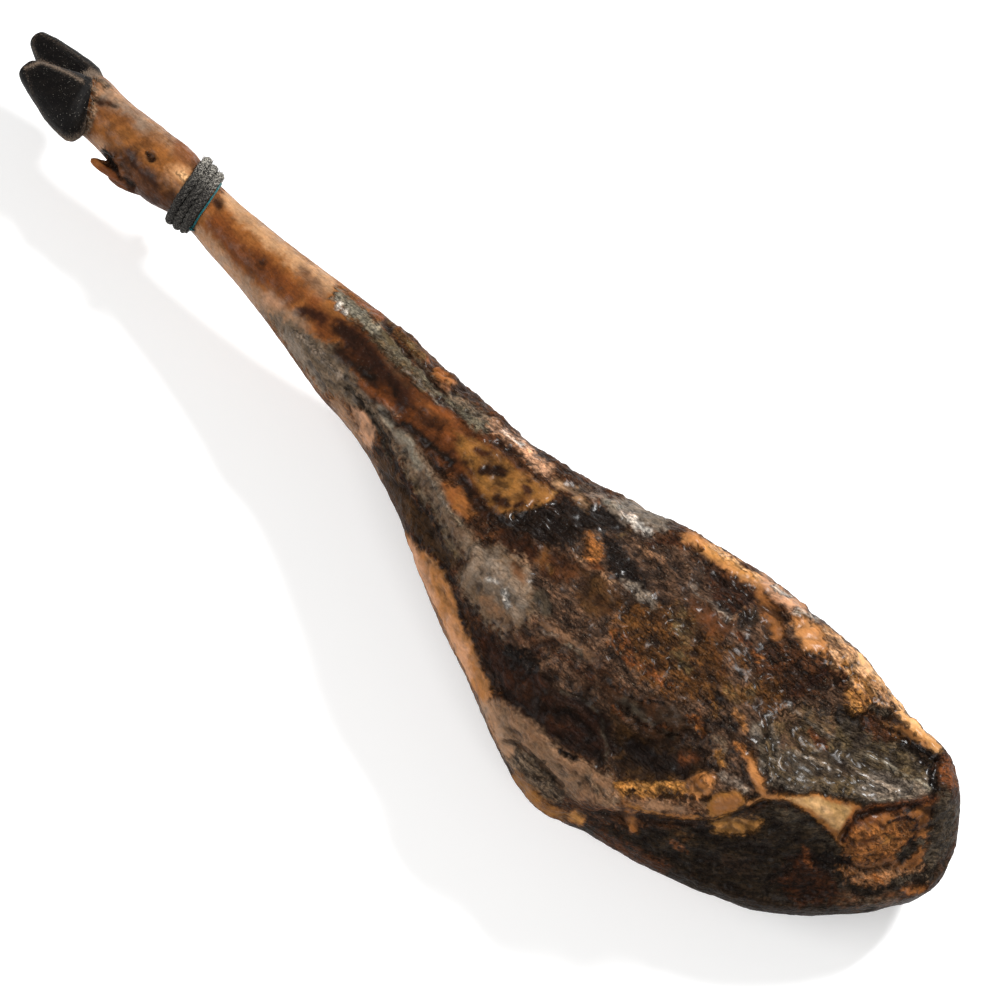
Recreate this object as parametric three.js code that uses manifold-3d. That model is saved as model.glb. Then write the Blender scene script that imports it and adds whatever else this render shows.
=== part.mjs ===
// A whole dry-cured ham on the bone: trimmed leg, cloven hoof and the cord tied round its shank.
// It lies on its rind with the trimmed face up. Millimetres, +Z up, hoof towards -X, butt end towards +X.

import * as THREE from "three";
import { mergeVertices } from "three/addons/utils/BufferGeometryUtils.js";
import Module from "manifold-3d";

const wasm = await Module();
wasm.setup();

// Driving dimensions. A place on the leg is its distance along it, from just inside the lower claw's tip,
// then its Y and Z.
const buttEnd = 752;
const toeEnd = 46; // where the skin ends, inside the claws
const toeRound = 16;
const buttRound = 46;
const buttBluntness = 2.1;
const cordDiameter = 5.6;
const cordTurns = 2.8;
const cordPitch = 6.7;
const threadDiameter = 1.2;
const touchGap = 0.35; // between pieces that touch
const seatGap = 0.6; // between the cord and the facets of the skin under it
const toeMiddle = { along: 106, y: 35, height: 51 };
const toeDepth = 36; // across the toes, which the claws fit over
const toeReach = 60; // along the toes, inside the claws and beyond them

const skinRings = 92;
const skinSides = 52;
const endCrowding = 1 / 2.6; // how much closer the rings lie towards both ends

// Sections across the leg: the two sides' Y, the heights of the underside, the widest line and the crown,
// and how square the section is (2 is an ellipse).
const sections = [
  { at: 46, left: 17, right: 54, under: 33, waist: 50, crown: 68, square: 2.2 },
  { at: 62, left: 17, right: 53, under: 33, waist: 50, crown: 68, square: 2.2 },
  { at: 80, left: 17.5, right: 51, under: 33, waist: 50, crown: 69, square: 2.2 },
  { at: 110, left: 15, right: 53, under: 31, waist: 50, crown: 69, square: 2.1 },
  { at: 136, left: 14, right: 55.5, under: 30, waist: 50, crown: 70, square: 2.1 },
  { at: 150, left: 18, right: 52, under: 33, waist: 51, crown: 68, square: 2.1 },
  { at: 166, left: 19, right: 50, under: 34, waist: 51, crown: 68, square: 2.1 },
  { at: 182, left: 16.5, right: 49.5, under: 33, waist: 51, crown: 69, square: 2.1 },
  { at: 220, left: 12.5, right: 50.5, under: 31, waist: 52, crown: 72, square: 2.1 },
  { at: 260, left: 5, right: 53.5, under: 27, waist: 52, crown: 76, square: 2.1 },
  { at: 300, left: -3.5, right: 56.2, under: 22, waist: 51, crown: 80, square: 2.2 },
  { at: 340, left: -7, right: 56.5, under: 15, waist: 50, crown: 85, square: 2.2 },
  { at: 380, left: -19.5, right: 57, under: 8, waist: 48, crown: 90, square: 2.3 },
  { at: 420, left: -38, right: 56.5, under: 3, waist: 47, crown: 95, square: 2.3 },
  { at: 460, left: -55, right: 63, under: -1, waist: 46, crown: 99, square: 2.4 },
  { at: 500, left: -70, right: 73, under: -2.5, waist: 45, crown: 102, square: 2.4 },
  { at: 540, left: -86, right: 84, under: -2.5, waist: 44, crown: 104, square: 2.5 },
  { at: 570, left: -93, right: 92.5, under: -2.5, waist: 42, crown: 104, square: 2.5 },
  { at: 600, left: -80.5, right: 93, under: -2.5, waist: 41, crown: 103, square: 2.5 },
  { at: 640, left: -71, right: 95, under: -2.5, waist: 40, crown: 102, square: 2.6 },
  { at: 680, left: -55, right: 87, under: -1, waist: 39, crown: 99, square: 2.6 },
  { at: 715, left: -31, right: 82, under: 3, waist: 38, crown: 95, square: 2.6 },
  { at: 752, left: -8, right: 66, under: 8, waist: 38, crown: 90, square: 2.6 },
];

// The line in plan where the trimmed face ends and the butt wall begins.
const rimStart = new THREE.Vector2(569, -87);
const rimEnd = new THREE.Vector2(734, 68);

const wallRounding = 32; // of the wall into the leg's widest line
const rimRounding = 14; // of the trimmed face into the wall
const wallFade = 3; // the wall shows fully from a third of the way up to the crown

// Evenly spaced along that rim: its height, how far it bows out, and how far beyond it the wall's foot lies.
const wallFoot = 38;
const rimSpots = [
  { height: 54, bow: 0, run: 5 },
  { height: 73, bow: 12, run: 8 },
  { height: 84, bow: 17, run: 21 },
  { height: 89, bow: 16, run: 34 },
  { height: 91, bow: 13, run: 43 },
  { height: 91, bow: 12, run: 49 },
  { height: 90, bow: 9, run: 45 },
  { height: 88, bow: 0, run: 16 },
];

// Ridges and hollows of the leg: each follows points on its surface, with a half-width and a height.
const reliefs = {
  buttRim: { rise: 4, reach: 9, path: [[588, -77, 68], [616, -62, 83], [655, -26, 90], [690, 6, 93], [722, 42, 90], [736, 62, 84]] },
  buttLip: { rise: 5, reach: 8, path: [[598, -70, 76], [618, -60, 84], [636, -46, 90], [652, -28, 92]] },
  lipCrease: { rise: -6, reach: 6, path: [[606, -78, 62], [628, -63, 74], [644, -50, 78], [660, -32, 82]] },
  fatRim: { rise: 4, reach: 9, path: [[527, 66, 84], [563, 74, 82], [607, 75, 84], [643, 75, 82], [709, 68, 82]] },
  leftRim: { rise: 3, reach: 10, path: [[407, -33, 63], [447, -49, 66], [475, -60, 65], [534, -84, 62]] },
  muscleRidge: { rise: 6, reach: 14, path: [[462, -28, 98], [543, -17, 105], [600, -12, 102]] },
  darkHollow: { rise: -13, reach: 22, path: [[578, -50, 90], [616, -24, 94]] },
  bladeHollow: { rise: -16, reach: 24, path: [[656, 26, 96], [692, 44, 92]] },
  bladeCrest: { rise: 5, reach: 10, path: [[572, 36, 101], [611, 20, 103], [643, 5, 101], [662, -10, 98]] },
  rindStep: { rise: 3, reach: 8, path: [[450, 50, 84], [459, 26, 97], [446, 2, 100], [424, -10, 94]] },
};

const restFade = 12; // height over the rest in which relief and lumps fade in
const upwardShare = 0.7; // how far relief on a crown rises straight up and not along the surface
const pathSpots = 24; // places that each relief path is split into

// The slow unevenness of dried meat: its height on the shank and on the body, and where it changes over.
const lumpHeight = { shank: 0.25, body: 0.8, from: 330, to: 520 };
const tieClearance = { middle: 9, flat: 22, full: 44 }; // how far from the tie the skin stays smooth

const sectionKeys = ["left", "right", "under", "waist", "crown", "square"];
const sectionCurve = new THREE.CubicInterpolant(
  sections.map((section) => section.at),
  sections.flatMap((section) => sectionKeys.map((key) => section[key])),
  sectionKeys.length,
);

function sectionAt(along) {
  const values = sectionCurve.evaluate(along);
  return Object.fromEntries(sectionKeys.map((key, i) => [key, values[i]]));
}

// How much of the section is left near an end of the leg: 1 along it, 0 at the tip.
function endTaper(along) {
  const toe = Math.max(0, 1 - (along - toeEnd) / toeRound);
  const butt = Math.max(0, 1 - (buttEnd - along) / buttRound);
  const toePart = Math.sqrt(Math.max(0, 1 - toe ** 2));
  const buttPart = Math.max(0, 1 - butt ** buttBluntness) ** (1 / buttBluntness);
  return toePart * buttPart;
}

const rimCurve = new THREE.CubicInterpolant(
  rimSpots.map((_, i) => i / (rimSpots.length - 1)),
  rimSpots.flatMap(({ height, bow, run }) => [height, bow, run]),
  3,
);

// The highest that the leg reaches at a place in plan, because of the sloping butt wall.
function wallHeight(along, y) {
  const line = rimEnd.clone().sub(rimStart);
  const length = line.length();
  const step = new THREE.Vector2(along, y).sub(rimStart);
  const share = THREE.MathUtils.clamp(step.dot(line) / length ** 2, 0, 1);
  const [height, bow, run] = rimCurve.evaluate(share);
  const beyond = step.cross(line) / length - bow;
  return height - ((height - wallFoot) * beyond) / run;
}

// The lower of two heights, with the corner between them rounded.
function softMin(a, b, rounding) {
  const h = Math.max(0, 1 - Math.abs(a - b) / rounding);
  return Math.min(a, b) - (h * h * rounding) / 4;
}

// A point of the leg before its relief. The angle runs from the right side over the crown.
function legPoint(along, angle) {
  const { left, right, under, waist, crown, square } = sectionAt(along);
  const taper = endTaper(along);
  const squareness = Math.sin(angle) > 0 ? square : 2;
  const power = (value) => Math.sign(value) * Math.abs(value) ** (2 / squareness);
  const y = (left + right) / 2 + ((right - left) / 2) * taper * power(Math.cos(angle));
  const lift = power(Math.sin(angle)) * taper;
  if (lift <= 0) return new THREE.Vector3(along, y, Math.max(0, waist + (waist - under) * lift));
  const top = waist + (crown - waist) * lift;
  const wall = -softMin(-waist, -wallHeight(along, y), wallRounding);
  const cut = softMin(top, wall, rimRounding);
  return new THREE.Vector3(along, y, THREE.MathUtils.lerp(top, cut, Math.min(1, lift * wallFade)));
}

// Closes rings of points with a pole at each end. Rings are counter-clockwise seen from the last pole.
function loft(rings, firstPole, lastPole) {
  const around = rings[0].length;
  const points = [...rings.flat(), firstPole, lastPole];
  const faces = [];
  const index = (ring, side) => ring * around + (side % around);
  rings.forEach((_, ring) => {
    for (let side = 0; side < around; side++) {
      const [a, b] = [index(ring, side), index(ring, side + 1)];
      if (ring === 0) faces.push(points.length - 2, b, a);
      if (ring === rings.length - 1) {
        faces.push(a, b, points.length - 1);
        continue;
      }
      const [c, d] = [index(ring + 1, side), index(ring + 1, side + 1)];
      faces.push(a, b, c, b, d, c);
    }
  });
  const geometry = new THREE.BufferGeometry().setFromPoints(points);
  return geometry.setIndex(faces);
}

// Moves each vertex along its normal by the ridges and hollows near it.
function addRelief(geometry) {
  geometry.computeVertexNormals();
  const { position, normal } = geometry.attributes;
  const paths = Object.values(reliefs).map(({ rise, reach, path }) => ({
    rise,
    reach,
    spots: new THREE.CatmullRomCurve3(path.map((p) => new THREE.Vector3(...p))).getPoints(pathSpots),
  }));
  const vertex = new THREE.Vector3();
  const outward = new THREE.Vector3();
  const upward = new THREE.Vector3(0, 0, 1);
  for (let i = 0; i < position.count; i++) {
    vertex.fromBufferAttribute(position, i);
    outward.fromBufferAttribute(normal, i);
    const shift = paths.reduce((sum, { rise, reach, spots }) => {
      const distance = Math.min(...spots.map((spot) => spot.distanceTo(vertex)));
      return sum + rise * Math.exp(-((distance / reach) ** 2));
    }, lumps(vertex));
    const onRest = THREE.MathUtils.smoothstep(vertex.z, 0, restFade);
    outward.lerp(upward, upwardShare * THREE.MathUtils.smoothstep(outward.z, 0.2, 0.7)).normalize();
    vertex.addScaledVector(outward, shift * onRest);
    position.setXYZ(i, vertex.x, vertex.y, vertex.z);
  }
  geometry.deleteAttribute("normal");
  return geometry;
}

// Three crossed waves, stronger on the body than on the shank, and none under the cord.
function lumps({ x, y, z }) {
  const body = THREE.MathUtils.smoothstep(x, lumpHeight.from, lumpHeight.to);
  const fromTie = Math.abs(x - tieStart - tieClearance.middle);
  const clearOfTie = THREE.MathUtils.smoothstep(fromTie, tieClearance.flat, tieClearance.full);
  const wave = Math.sin(x / 17 + y / 23) + Math.sin(y / 15 - z / 19 + 1.3) + Math.sin(x / 31 - y / 12 + z / 21);
  return wave * clearOfTie * THREE.MathUtils.lerp(lumpHeight.shank, lumpHeight.body, body);
}

function skinGeometry() {
  const rings = [];
  for (let i = 1; i < skinRings; i++) {
    const share = i / skinRings;
    // Rings crowd together towards both ends, where the leg rounds off.
    const eased = share - (Math.sin(2 * Math.PI * share) * endCrowding) / Math.PI;
    const along = THREE.MathUtils.lerp(toeEnd, buttEnd, eased);
    const ring = [];
    for (let side = 0; side < skinSides; side++) ring.push(legPoint(along, (2 * Math.PI * side) / skinSides));
    rings.push(ring);
  }
  const pole = (along) => {
    const { left, right, waist } = sectionAt(along);
    return new THREE.Vector3(along, (left + right) / 2, waist);
  };
  return addRelief(loft(rings, pole(toeEnd), pole(buttEnd)));
}

// A finger of round sections along a spine, with a rounded tip.
function dewclawGeometry({ spine, tipRadius, rootRadius }) {
  const curve = new THREE.CatmullRomCurve3(spine.map((p) => new THREE.Vector3(...p)));
  const frames = curve.computeFrenetFrames(dewclawSteps, false);
  const rings = [];
  for (let i = 0; i <= dewclawSteps; i++) {
    const share = i / dewclawSteps;
    const tip = Math.sqrt(1 - (1 - Math.min(1, dewclawBlunt + share * 3)) ** 2);
    const radius = THREE.MathUtils.lerp(tipRadius, rootRadius, share) * tip;
    const middle = curve.getPointAt(share);
    rings.push(circle(middle, frames.normals[i], frames.binormals[i], radius, dewclawSides));
  }
  return loft(rings, curve.getPointAt(0), curve.getPointAt(1));
}

function circle(centre, across, other, radius, sides) {
  return Array.from({ length: sides }, (_, side) => {
    const angle = (2 * Math.PI * side) / sides;
    const point = centre.clone().addScaledVector(across, radius * Math.cos(angle));
    return point.addScaledVector(other, radius * Math.sin(angle));
  });
}

// A horn claw: like the leg, sections across it from the tip to the coronet, which leans back over the heel.
function clawGeometry({ tip, coronet, lean, outline, middle, thickness, square }) {
  const rows = outline.flatMap((row) => [row.sole, row.front]);
  const sides = new THREE.CubicInterpolant(outline.map((row) => row.at), rows, 2);
  const power = (value) => Math.sign(value) * Math.abs(value) ** (2 / square);
  const rings = [];
  for (let i = 1; i < clawRings; i++) {
    const share = (1 - Math.cos((Math.PI * i) / clawRings)) / 2;
    const along = THREE.MathUtils.lerp(tip, coronet, share);
    const [sole, front] = sides.evaluate(along);
    const blunt = Math.sqrt(1 - Math.max(0, 1 - share / clawTipRound) ** 2);
    const heel = Math.sqrt(1 - Math.max(0, (share - clawHeelStart) / (1 - clawHeelStart)) ** 2);
    const thinning = THREE.MathUtils.lerp(clawTipThickness, 1, Math.min(1, share / clawFullThickness));
    const height = (thickness / 2) * thinning * blunt * heel;
    const centre = (front + sole) / 2;
    const half = ((front - sole) / 2) * blunt * heel;
    rings.push(
      Array.from({ length: clawSides }, (_, side) => {
        const angle = (2 * Math.PI * side) / clawSides;
        const across = half * power(Math.cos(angle));
        const leaned = along - lean * share ** 2 * across;
        return new THREE.Vector3(leaned, centre + across, middle + height * power(Math.sin(angle)));
      }),
    );
  }
  const pole = (along) => {
    const [sole, front] = sides.evaluate(along);
    return new THREE.Vector3(along, (front + sole) / 2, middle);
  };
  return loft(rings, pole(tip), pole(coronet));
}

// Shares of a claw's length from its tip to its coronet, and of its thickness.
const clawTipRound = 0.06;
const clawHeelStart = 0.84;
const clawFullThickness = 0.7;
const clawTipThickness = 0.5;
const clawRings = 15;
const clawSides = 20;
const claws = {
  claw_upper: {
    tip: 20,
    coronet: 75,
    lean: 0.58,
    middle: 61,
    thickness: 26,
    square: 2.5,
    outline: [
      { at: 20, sole: 14.5, front: 26.5 },
      { at: 31, sole: 11, front: 32.5 },
      { at: 42, sole: 8, front: 37 },
      { at: 52, sole: 5, front: 40.5 },
      { at: 62, sole: 4, front: 43 },
      { at: 75, sole: 5, front: 44 },
    ],
  },
  claw_lower: {
    tip: -6,
    coronet: 60,
    lean: 0.55,
    middle: 39,
    thickness: 26,
    square: 2.5,
    outline: [
      { at: -6, sole: 42, front: 52 },
      { at: 3, sole: 38, front: 55 },
      { at: 14, sole: 33, front: 57 },
      { at: 28, sole: 27, front: 58.5 },
      { at: 42, sole: 24, front: 59.5 },
      { at: 60, sole: 24, front: 59 },
    ],
  },
};

const dewclawSteps = 12;
const dewclawSides = 12;
const dewclawBlunt = 0.25;
const dewclaws = [
  { spine: [[92, 8.5, 51], [104, 11.5, 51], [118, 16.5, 51], [134, 25, 51]], tipRadius: 3, rootRadius: 8 },
  { spine: [[99, 14, 34], [110, 17, 35], [122, 22, 38], [134, 29, 42]], tipRadius: 3, rootRadius: 7.5 },
];

// Closed geometry to a solid and back.
function toSolid(geometry) {
  const bare = geometry.clone();
  bare.deleteAttribute("normal");
  bare.deleteAttribute("uv");
  const merged = mergeVertices(bare, 1e-3);
  return new wasm.Manifold(
    new wasm.Mesh({
      numProp: 3,
      vertProperties: new Float32Array(merged.attributes.position.array),
      triVerts: new Uint32Array(merged.index.array),
    }),
  );
}

function toGeometry(solid) {
  const { vertProperties, triVerts } = solid.getMesh();
  const geometry = new THREE.BufferGeometry();
  geometry.setAttribute("position", new THREE.BufferAttribute(vertProperties, 3));
  geometry.setIndex(new THREE.BufferAttribute(triVerts, 1));
  geometry.computeVertexNormals();
  return geometry;
}

// The path of a strand wound round the shank on a slant, at a height over the skin.
const tieStart = 146; // where the cord begins along the leg
const tieSlant = -0.27; // change of place along the leg for each millimetre of Y
const tieLean = 0.42; // and for each millimetre of height
const tieMiddle = 35; // the shank's middle line there, in Y
const tieHeight = 51; // and its height
const tieTurnStart = -0.3; // in turns from the right side, so the ends lie on the hidden side
const tailStart = 0.97; // share of the strand after which its end lifts off the turn below
const tailLift = 0.8;
const threadTurns = 0.95;

const cordSides = 8;
const cordSteps = 76;
const threadSides = 6;
const threadSteps = 40;

class WoundPath extends THREE.Curve {
  constructor({ turns, from, height, shift, tail }) {
    super();
    Object.assign(this, { turns, from, height, shift, tail });
  }

  getPoint(share, target = new THREE.Vector3()) {
    const turn = this.from + share * this.turns;
    const angle = 2 * Math.PI * (turn + tieTurnStart);
    const level = tieStart + this.shift + cordPitch * turn;
    const near = legPoint(level, angle);
    const along = level + tieSlant * (near.y - tieMiddle) + tieLean * (near.z - tieHeight);
    const base = legPoint(along, angle);
    const beside = 0.02;
    const tangent = legPoint(along, angle + beside).sub(legPoint(along, angle - beside));
    const outward = new THREE.Vector3(0, tangent.z, -tangent.y).normalize();
    const tail = this.tail * Math.max(0, (share - tailStart) / (1 - tailStart));
    return target.copy(base).addScaledVector(outward, this.height + tail);
  }
}

function strandGeometry(path, diameter, sides, steps) {
  const round = new THREE.Shape().absarc(0, 0, diameter / 2, 0, 2 * Math.PI);
  const ring = new THREE.Shape(round.getPoints(sides / 2).slice(0, -1));
  return new THREE.ExtrudeGeometry(ring, { steps, extrudePath: path, curveSegments: 1 });
}

function finish(color, roughness) {
  return new THREE.MeshStandardMaterial({ color, roughness, metalness: 0 });
}

function namedMesh(name, geometry, material) {
  const mesh = new THREE.Mesh(geometry, material);
  mesh.name = name;
  return mesh;
}

// The leg with its dewclaws is one solid. The claws are cut to fit over its toe end.
function buildHam() {
  const skin = toSolid(skinGeometry());
  const leg = dewclaws.reduce((solid, dewclaw) => solid.add(toSolid(dewclawGeometry(dewclaw))), skin);
  const horn = finish(0x14110f, 0.55);
  const pieces = [namedMesh("ham_leg", toGeometry(leg), finish(0x5a3a1e, 0.45))];
  const toeWider = 1 + (2 * touchGap) / toeDepth;
  const toeLonger = 1 + touchGap / toeReach;
  const toeCentre = [toeMiddle.along, toeMiddle.y, toeMiddle.height];
  const cutter = leg
    .translate(toeCentre.map((value) => -value))
    .scale([toeLonger, toeWider, toeWider])
    .translate(toeCentre);
  for (const [name, claw] of Object.entries(claws)) {
    const cut = toSolid(clawGeometry(claw)).subtract(cutter);
    const largest = cut.decompose().sort((a, b) => b.volume() - a.volume())[0];
    pieces.push(namedMesh(name, toGeometry(largest), horn));
  }
  const cordHeight = cordDiameter / 2 + seatGap;
  const cordPath = new WoundPath({ turns: cordTurns, from: 0, height: cordHeight, shift: 0, tail: tailLift });
  const cord = strandGeometry(cordPath, cordDiameter, cordSides, cordSteps);
  pieces.push(namedMesh("tie_cord", cord, finish(0x2b2826, 0.95)));
  const threadPath = new WoundPath({
    turns: threadTurns,
    from: cordTurns - 1,
    height: threadDiameter / 2 + seatGap,
    shift: (cordDiameter + threadDiameter) / 2 + touchGap,
    tail: 0,
  });
  const thread = strandGeometry(threadPath, threadDiameter, threadSides, threadSteps);
  pieces.push(namedMesh("tie_thread", thread, finish(0x1f6f74, 0.6)));
  return pieces;
}

// The origin is under the middle of the ham's bounding box, on the surface it lies on.
const ham = new THREE.Group();
const placed = new THREE.Group();
placed.add(...buildHam());
const extent = new THREE.Box3().setFromObject(placed);
const centre = extent.getCenter(new THREE.Vector3());
placed.position.set(-centre.x, -centre.y, -extent.min.z);
ham.add(placed);

export default ham;
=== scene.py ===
# A cured ham lying with its cut side up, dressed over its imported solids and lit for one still.
# Lengths are metres unless a name says otherwise; places marked "in the picture" are its pixels.

import itertools
import math

import bpy
import numpy as np
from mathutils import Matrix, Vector, noise
from mathutils.bvhtree import BVHTree


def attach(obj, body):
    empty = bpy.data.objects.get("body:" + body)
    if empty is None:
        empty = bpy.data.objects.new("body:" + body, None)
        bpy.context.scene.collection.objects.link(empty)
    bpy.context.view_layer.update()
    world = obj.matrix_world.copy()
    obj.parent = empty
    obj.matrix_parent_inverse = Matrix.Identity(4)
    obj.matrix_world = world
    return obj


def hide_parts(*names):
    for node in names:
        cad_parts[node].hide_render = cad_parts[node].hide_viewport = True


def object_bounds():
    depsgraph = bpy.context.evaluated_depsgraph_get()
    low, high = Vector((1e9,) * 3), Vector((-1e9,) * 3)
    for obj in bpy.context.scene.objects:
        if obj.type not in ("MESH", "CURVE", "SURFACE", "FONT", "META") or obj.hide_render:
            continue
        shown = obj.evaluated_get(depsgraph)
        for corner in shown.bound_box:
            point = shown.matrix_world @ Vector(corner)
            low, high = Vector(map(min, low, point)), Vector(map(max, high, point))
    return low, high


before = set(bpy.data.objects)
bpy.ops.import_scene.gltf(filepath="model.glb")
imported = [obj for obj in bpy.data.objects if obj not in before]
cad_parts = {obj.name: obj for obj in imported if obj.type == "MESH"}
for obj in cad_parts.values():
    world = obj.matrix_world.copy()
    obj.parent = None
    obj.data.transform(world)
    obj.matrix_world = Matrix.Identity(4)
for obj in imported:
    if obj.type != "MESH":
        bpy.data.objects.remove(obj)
solidLow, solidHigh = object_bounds()
print("frame loaded,", len(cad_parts), "solids")

mm = 0.001

# The picture's camera
picture = {
    "azimuth": 44.8,  # degrees, 0 looks along +Y
    "elevation": 65.0,  # degrees above the floor
    "lens": 100.0,
    "sensor": 36.0,
    "distance": 1.5833,
    "target": (0.0549, 0.0199, 0.052),
    "pixels": 1000,
    "nearest": 0.05,  # what the camera clips
    "farthest": 50.0,
}

azimuth = math.radians(picture["azimuth"])
elevation = math.radians(picture["elevation"])
towardsCamera = Vector(
    (
        math.sin(azimuth) * math.cos(elevation),
        -math.cos(azimuth) * math.cos(elevation),
        math.sin(elevation),
    )
)
pictureRight = Vector((math.cos(azimuth), math.sin(azimuth), 0.0))
pictureUp = towardsCamera.cross(pictureRight)
cameraPlace = Vector(picture["target"]) + towardsCamera * picture["distance"]


def placeCamera():
    lens = bpy.data.cameras.new("pictureLens")
    lens.lens = picture["lens"]
    lens.sensor_width = picture["sensor"]
    lens.clip_start = picture["nearest"]
    lens.clip_end = picture["farthest"]
    camera = bpy.data.objects.new("pictureCamera", lens)
    bpy.context.scene.collection.objects.link(camera)
    camera.location = cameraPlace
    camera.rotation_euler = (math.radians(90) - elevation, 0, azimuth)
    bpy.context.scene.camera = camera


def inPicture(points):
    # pixel place of each point: across from the left, down from the top
    away = points - np.array(cameraPlace)
    depth = -(away @ np.array(towardsCamera))
    zoom = picture["pixels"] * picture["lens"] / picture["sensor"]
    middle = picture["pixels"] / 2
    across = middle + zoom * (away @ np.array(pictureRight)) / depth
    down = middle - zoom * (away @ np.array(pictureUp)) / depth
    return across, down


placeCamera()
print("camera placed")


# Small helpers for meshes
def makeActive(piece):
    bpy.ops.object.select_all(action="DESELECT")
    piece.select_set(True)
    bpy.context.view_layer.objects.active = piece


def applied(piece, name, kind, **values):
    modifier = piece.modifiers.new(name, kind)
    for key, value in values.items():
        setattr(modifier, key, value)
    makeActive(piece)
    bpy.ops.object.modifier_apply(modifier=name)


def copyOfSolid(nodeName, pieceName):
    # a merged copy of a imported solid, to be worked further
    piece = bpy.data.objects.new(pieceName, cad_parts[nodeName].data.copy())
    bpy.context.scene.collection.objects.link(piece)
    piece.data.materials.clear()
    makeActive(piece)
    bpy.ops.object.mode_set(mode="EDIT")
    bpy.ops.mesh.select_all(action="SELECT")
    bpy.ops.mesh.remove_doubles(threshold=0.02 * mm)
    bpy.ops.mesh.tris_convert_to_quads()
    bpy.ops.object.mode_set(mode="OBJECT")
    return piece


def pointsOf(piece):
    flat = np.empty(len(piece.data.vertices) * 3, np.float32)
    piece.data.vertices.foreach_get("co", flat)
    return flat.reshape(-1, 3).astype(float)


def normalsOf(piece):
    flat = np.empty(len(piece.data.vertices) * 3, np.float32)
    piece.data.vertex_normals.foreach_get("vector", flat)
    return flat.reshape(-1, 3).astype(float)


def weigh(piece, name, weights):
    # a vertex group with these weights, in 255 steps
    group = piece.vertex_groups.new(name=name)
    steps = np.rint(np.clip(weights, 0, 1) * 255).astype(int)
    for step in np.unique(steps):
        if step > 0:
            group.add(np.nonzero(steps == step)[0].tolist(), float(step) / 255, "REPLACE")
    return name


def keepAttribute(piece, name, values):
    if values.ndim == 2:
        layer = piece.data.attributes.new(name, "FLOAT_COLOR", "POINT")
        four = np.ones((len(values), 4), np.float32)
        four[:, :3] = values
        layer.data.foreach_set("color", four.ravel())
    else:
        layer = piece.data.attributes.new(name, "FLOAT", "POINT")
        layer.data.foreach_set("value", values.astype(np.float32))


def smoothStep(low, high, values):
    part = np.clip((values - low) / (high - low), 0, 1)
    return part * part * (3 - 2 * part)


def grain(points, size, shift=0.0):
    # one value of soft noise per point, about -1 to 1, with features of this size
    scaled = points / size + shift
    return np.array([noise.noise(Vector(p)) for p in scaled])


def lineDistance(across, down, points, closed):
    # pixels from each place to a line; inside a closed line the distance is negative
    best = np.full(len(across), 1e9)
    inside = np.zeros(len(across), bool)
    last = len(points) if closed else len(points) - 1
    for index in range(last):
        x0, y0 = points[index]
        x1, y1 = points[(index + 1) % len(points)]
        dx, dy = x1 - x0, y1 - y0
        span = max(dx * dx + dy * dy, 1e-9)
        part = np.clip(((across - x0) * dx + (down - y0) * dy) / span, 0, 1)
        best = np.minimum(best, np.hypot(across - x0 - part * dx, down - y0 - part * dy))
        if closed:
            crosses = (y0 > down) != (y1 > down)
            side = x0 + (down - y0) * dx / (dy if dy else 1e-9)
            inside ^= crosses & (across < side)
    return np.where(inside, -best, best)


def coverage(across, down, wide, points, edge, ragged=None):
    # 1 on the stroke or inside the outline, falling to 0 over the edge
    closed = wide is None
    reach = (wide or 0) + edge * 2 + 1
    xs = [p[0] for p in points]
    ys = [p[1] for p in points]
    near = (across > min(xs) - reach) & (across < max(xs) + reach)
    near &= (down > min(ys) - reach) & (down < max(ys) + reach)
    weights = np.zeros(len(across))
    if len(points) == 1:
        gap = np.hypot(across[near] - xs[0], down[near] - ys[0])
    else:
        gap = lineDistance(across[near], down[near], points, closed)
    if ragged is not None:
        gap = gap + ragged[near]
    weights[near] = smoothStep(edge, -edge, gap - (wide or 0))
    return weights


# Small helpers for materials
def addNode(tree, kind, **values):
    node = tree.nodes.new(kind)
    for key, value in values.items():
        if hasattr(node, key):
            setattr(node, key, value)
        else:
            node.inputs[key].default_value = value
    return node


def linear(colour):
    # the shader's colour for a colour given as 0 to 255
    parts = [c / 255 for c in colour]
    return [p / 12.92 if p <= 0.04045 else ((p + 0.055) / 1.055) ** 2.4 for p in parts]


def opaque(colour):
    return (*linear(colour), 1.0)


def newMaterial(name):
    material = bpy.data.materials.new(name)
    material.use_nodes = True
    tree = material.node_tree
    tree.nodes.clear()
    output = addNode(tree, "ShaderNodeOutputMaterial")
    shader = addNode(tree, "ShaderNodeBsdfPrincipled")
    tree.links.new(shader.outputs["BSDF"], output.inputs["Surface"])
    return material, tree, shader


def mixColours(tree, factor, first, second, blend="MIX"):
    mixer = addNode(tree, "ShaderNodeMix", data_type="RGBA", blend_type=blend)
    for socket, value in ((0, factor), (6, first), (7, second)):
        if isinstance(value, bpy.types.NodeSocket):
            tree.links.new(value, mixer.inputs[socket])
        else:
            mixer.inputs[socket].default_value = value
    return mixer.outputs[2]


def calculate(tree, operation, first, second=0.0, third=0.0):
    node = addNode(tree, "ShaderNodeMath", operation=operation)
    for socket, value in enumerate((first, second, third)):
        if isinstance(value, bpy.types.NodeSocket):
            tree.links.new(value, node.inputs[socket])
        else:
            node.inputs[socket].default_value = value
    return node.outputs[0]


def multiply(tree, first, second):
    return calculate(tree, "MULTIPLY", first, second)


def opposite(tree, value):
    return calculate(tree, "SUBTRACT", 1.0, value)


def ramp(tree, value, low, high):
    # 0 below low, 1 above high
    node = addNode(tree, "ShaderNodeMapRange", interpolation_type="SMOOTHSTEP")
    tree.links.new(value, node.inputs["Value"])
    node.inputs["From Min"].default_value = low
    node.inputs["From Max"].default_value = high
    return node.outputs["Result"]


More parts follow.
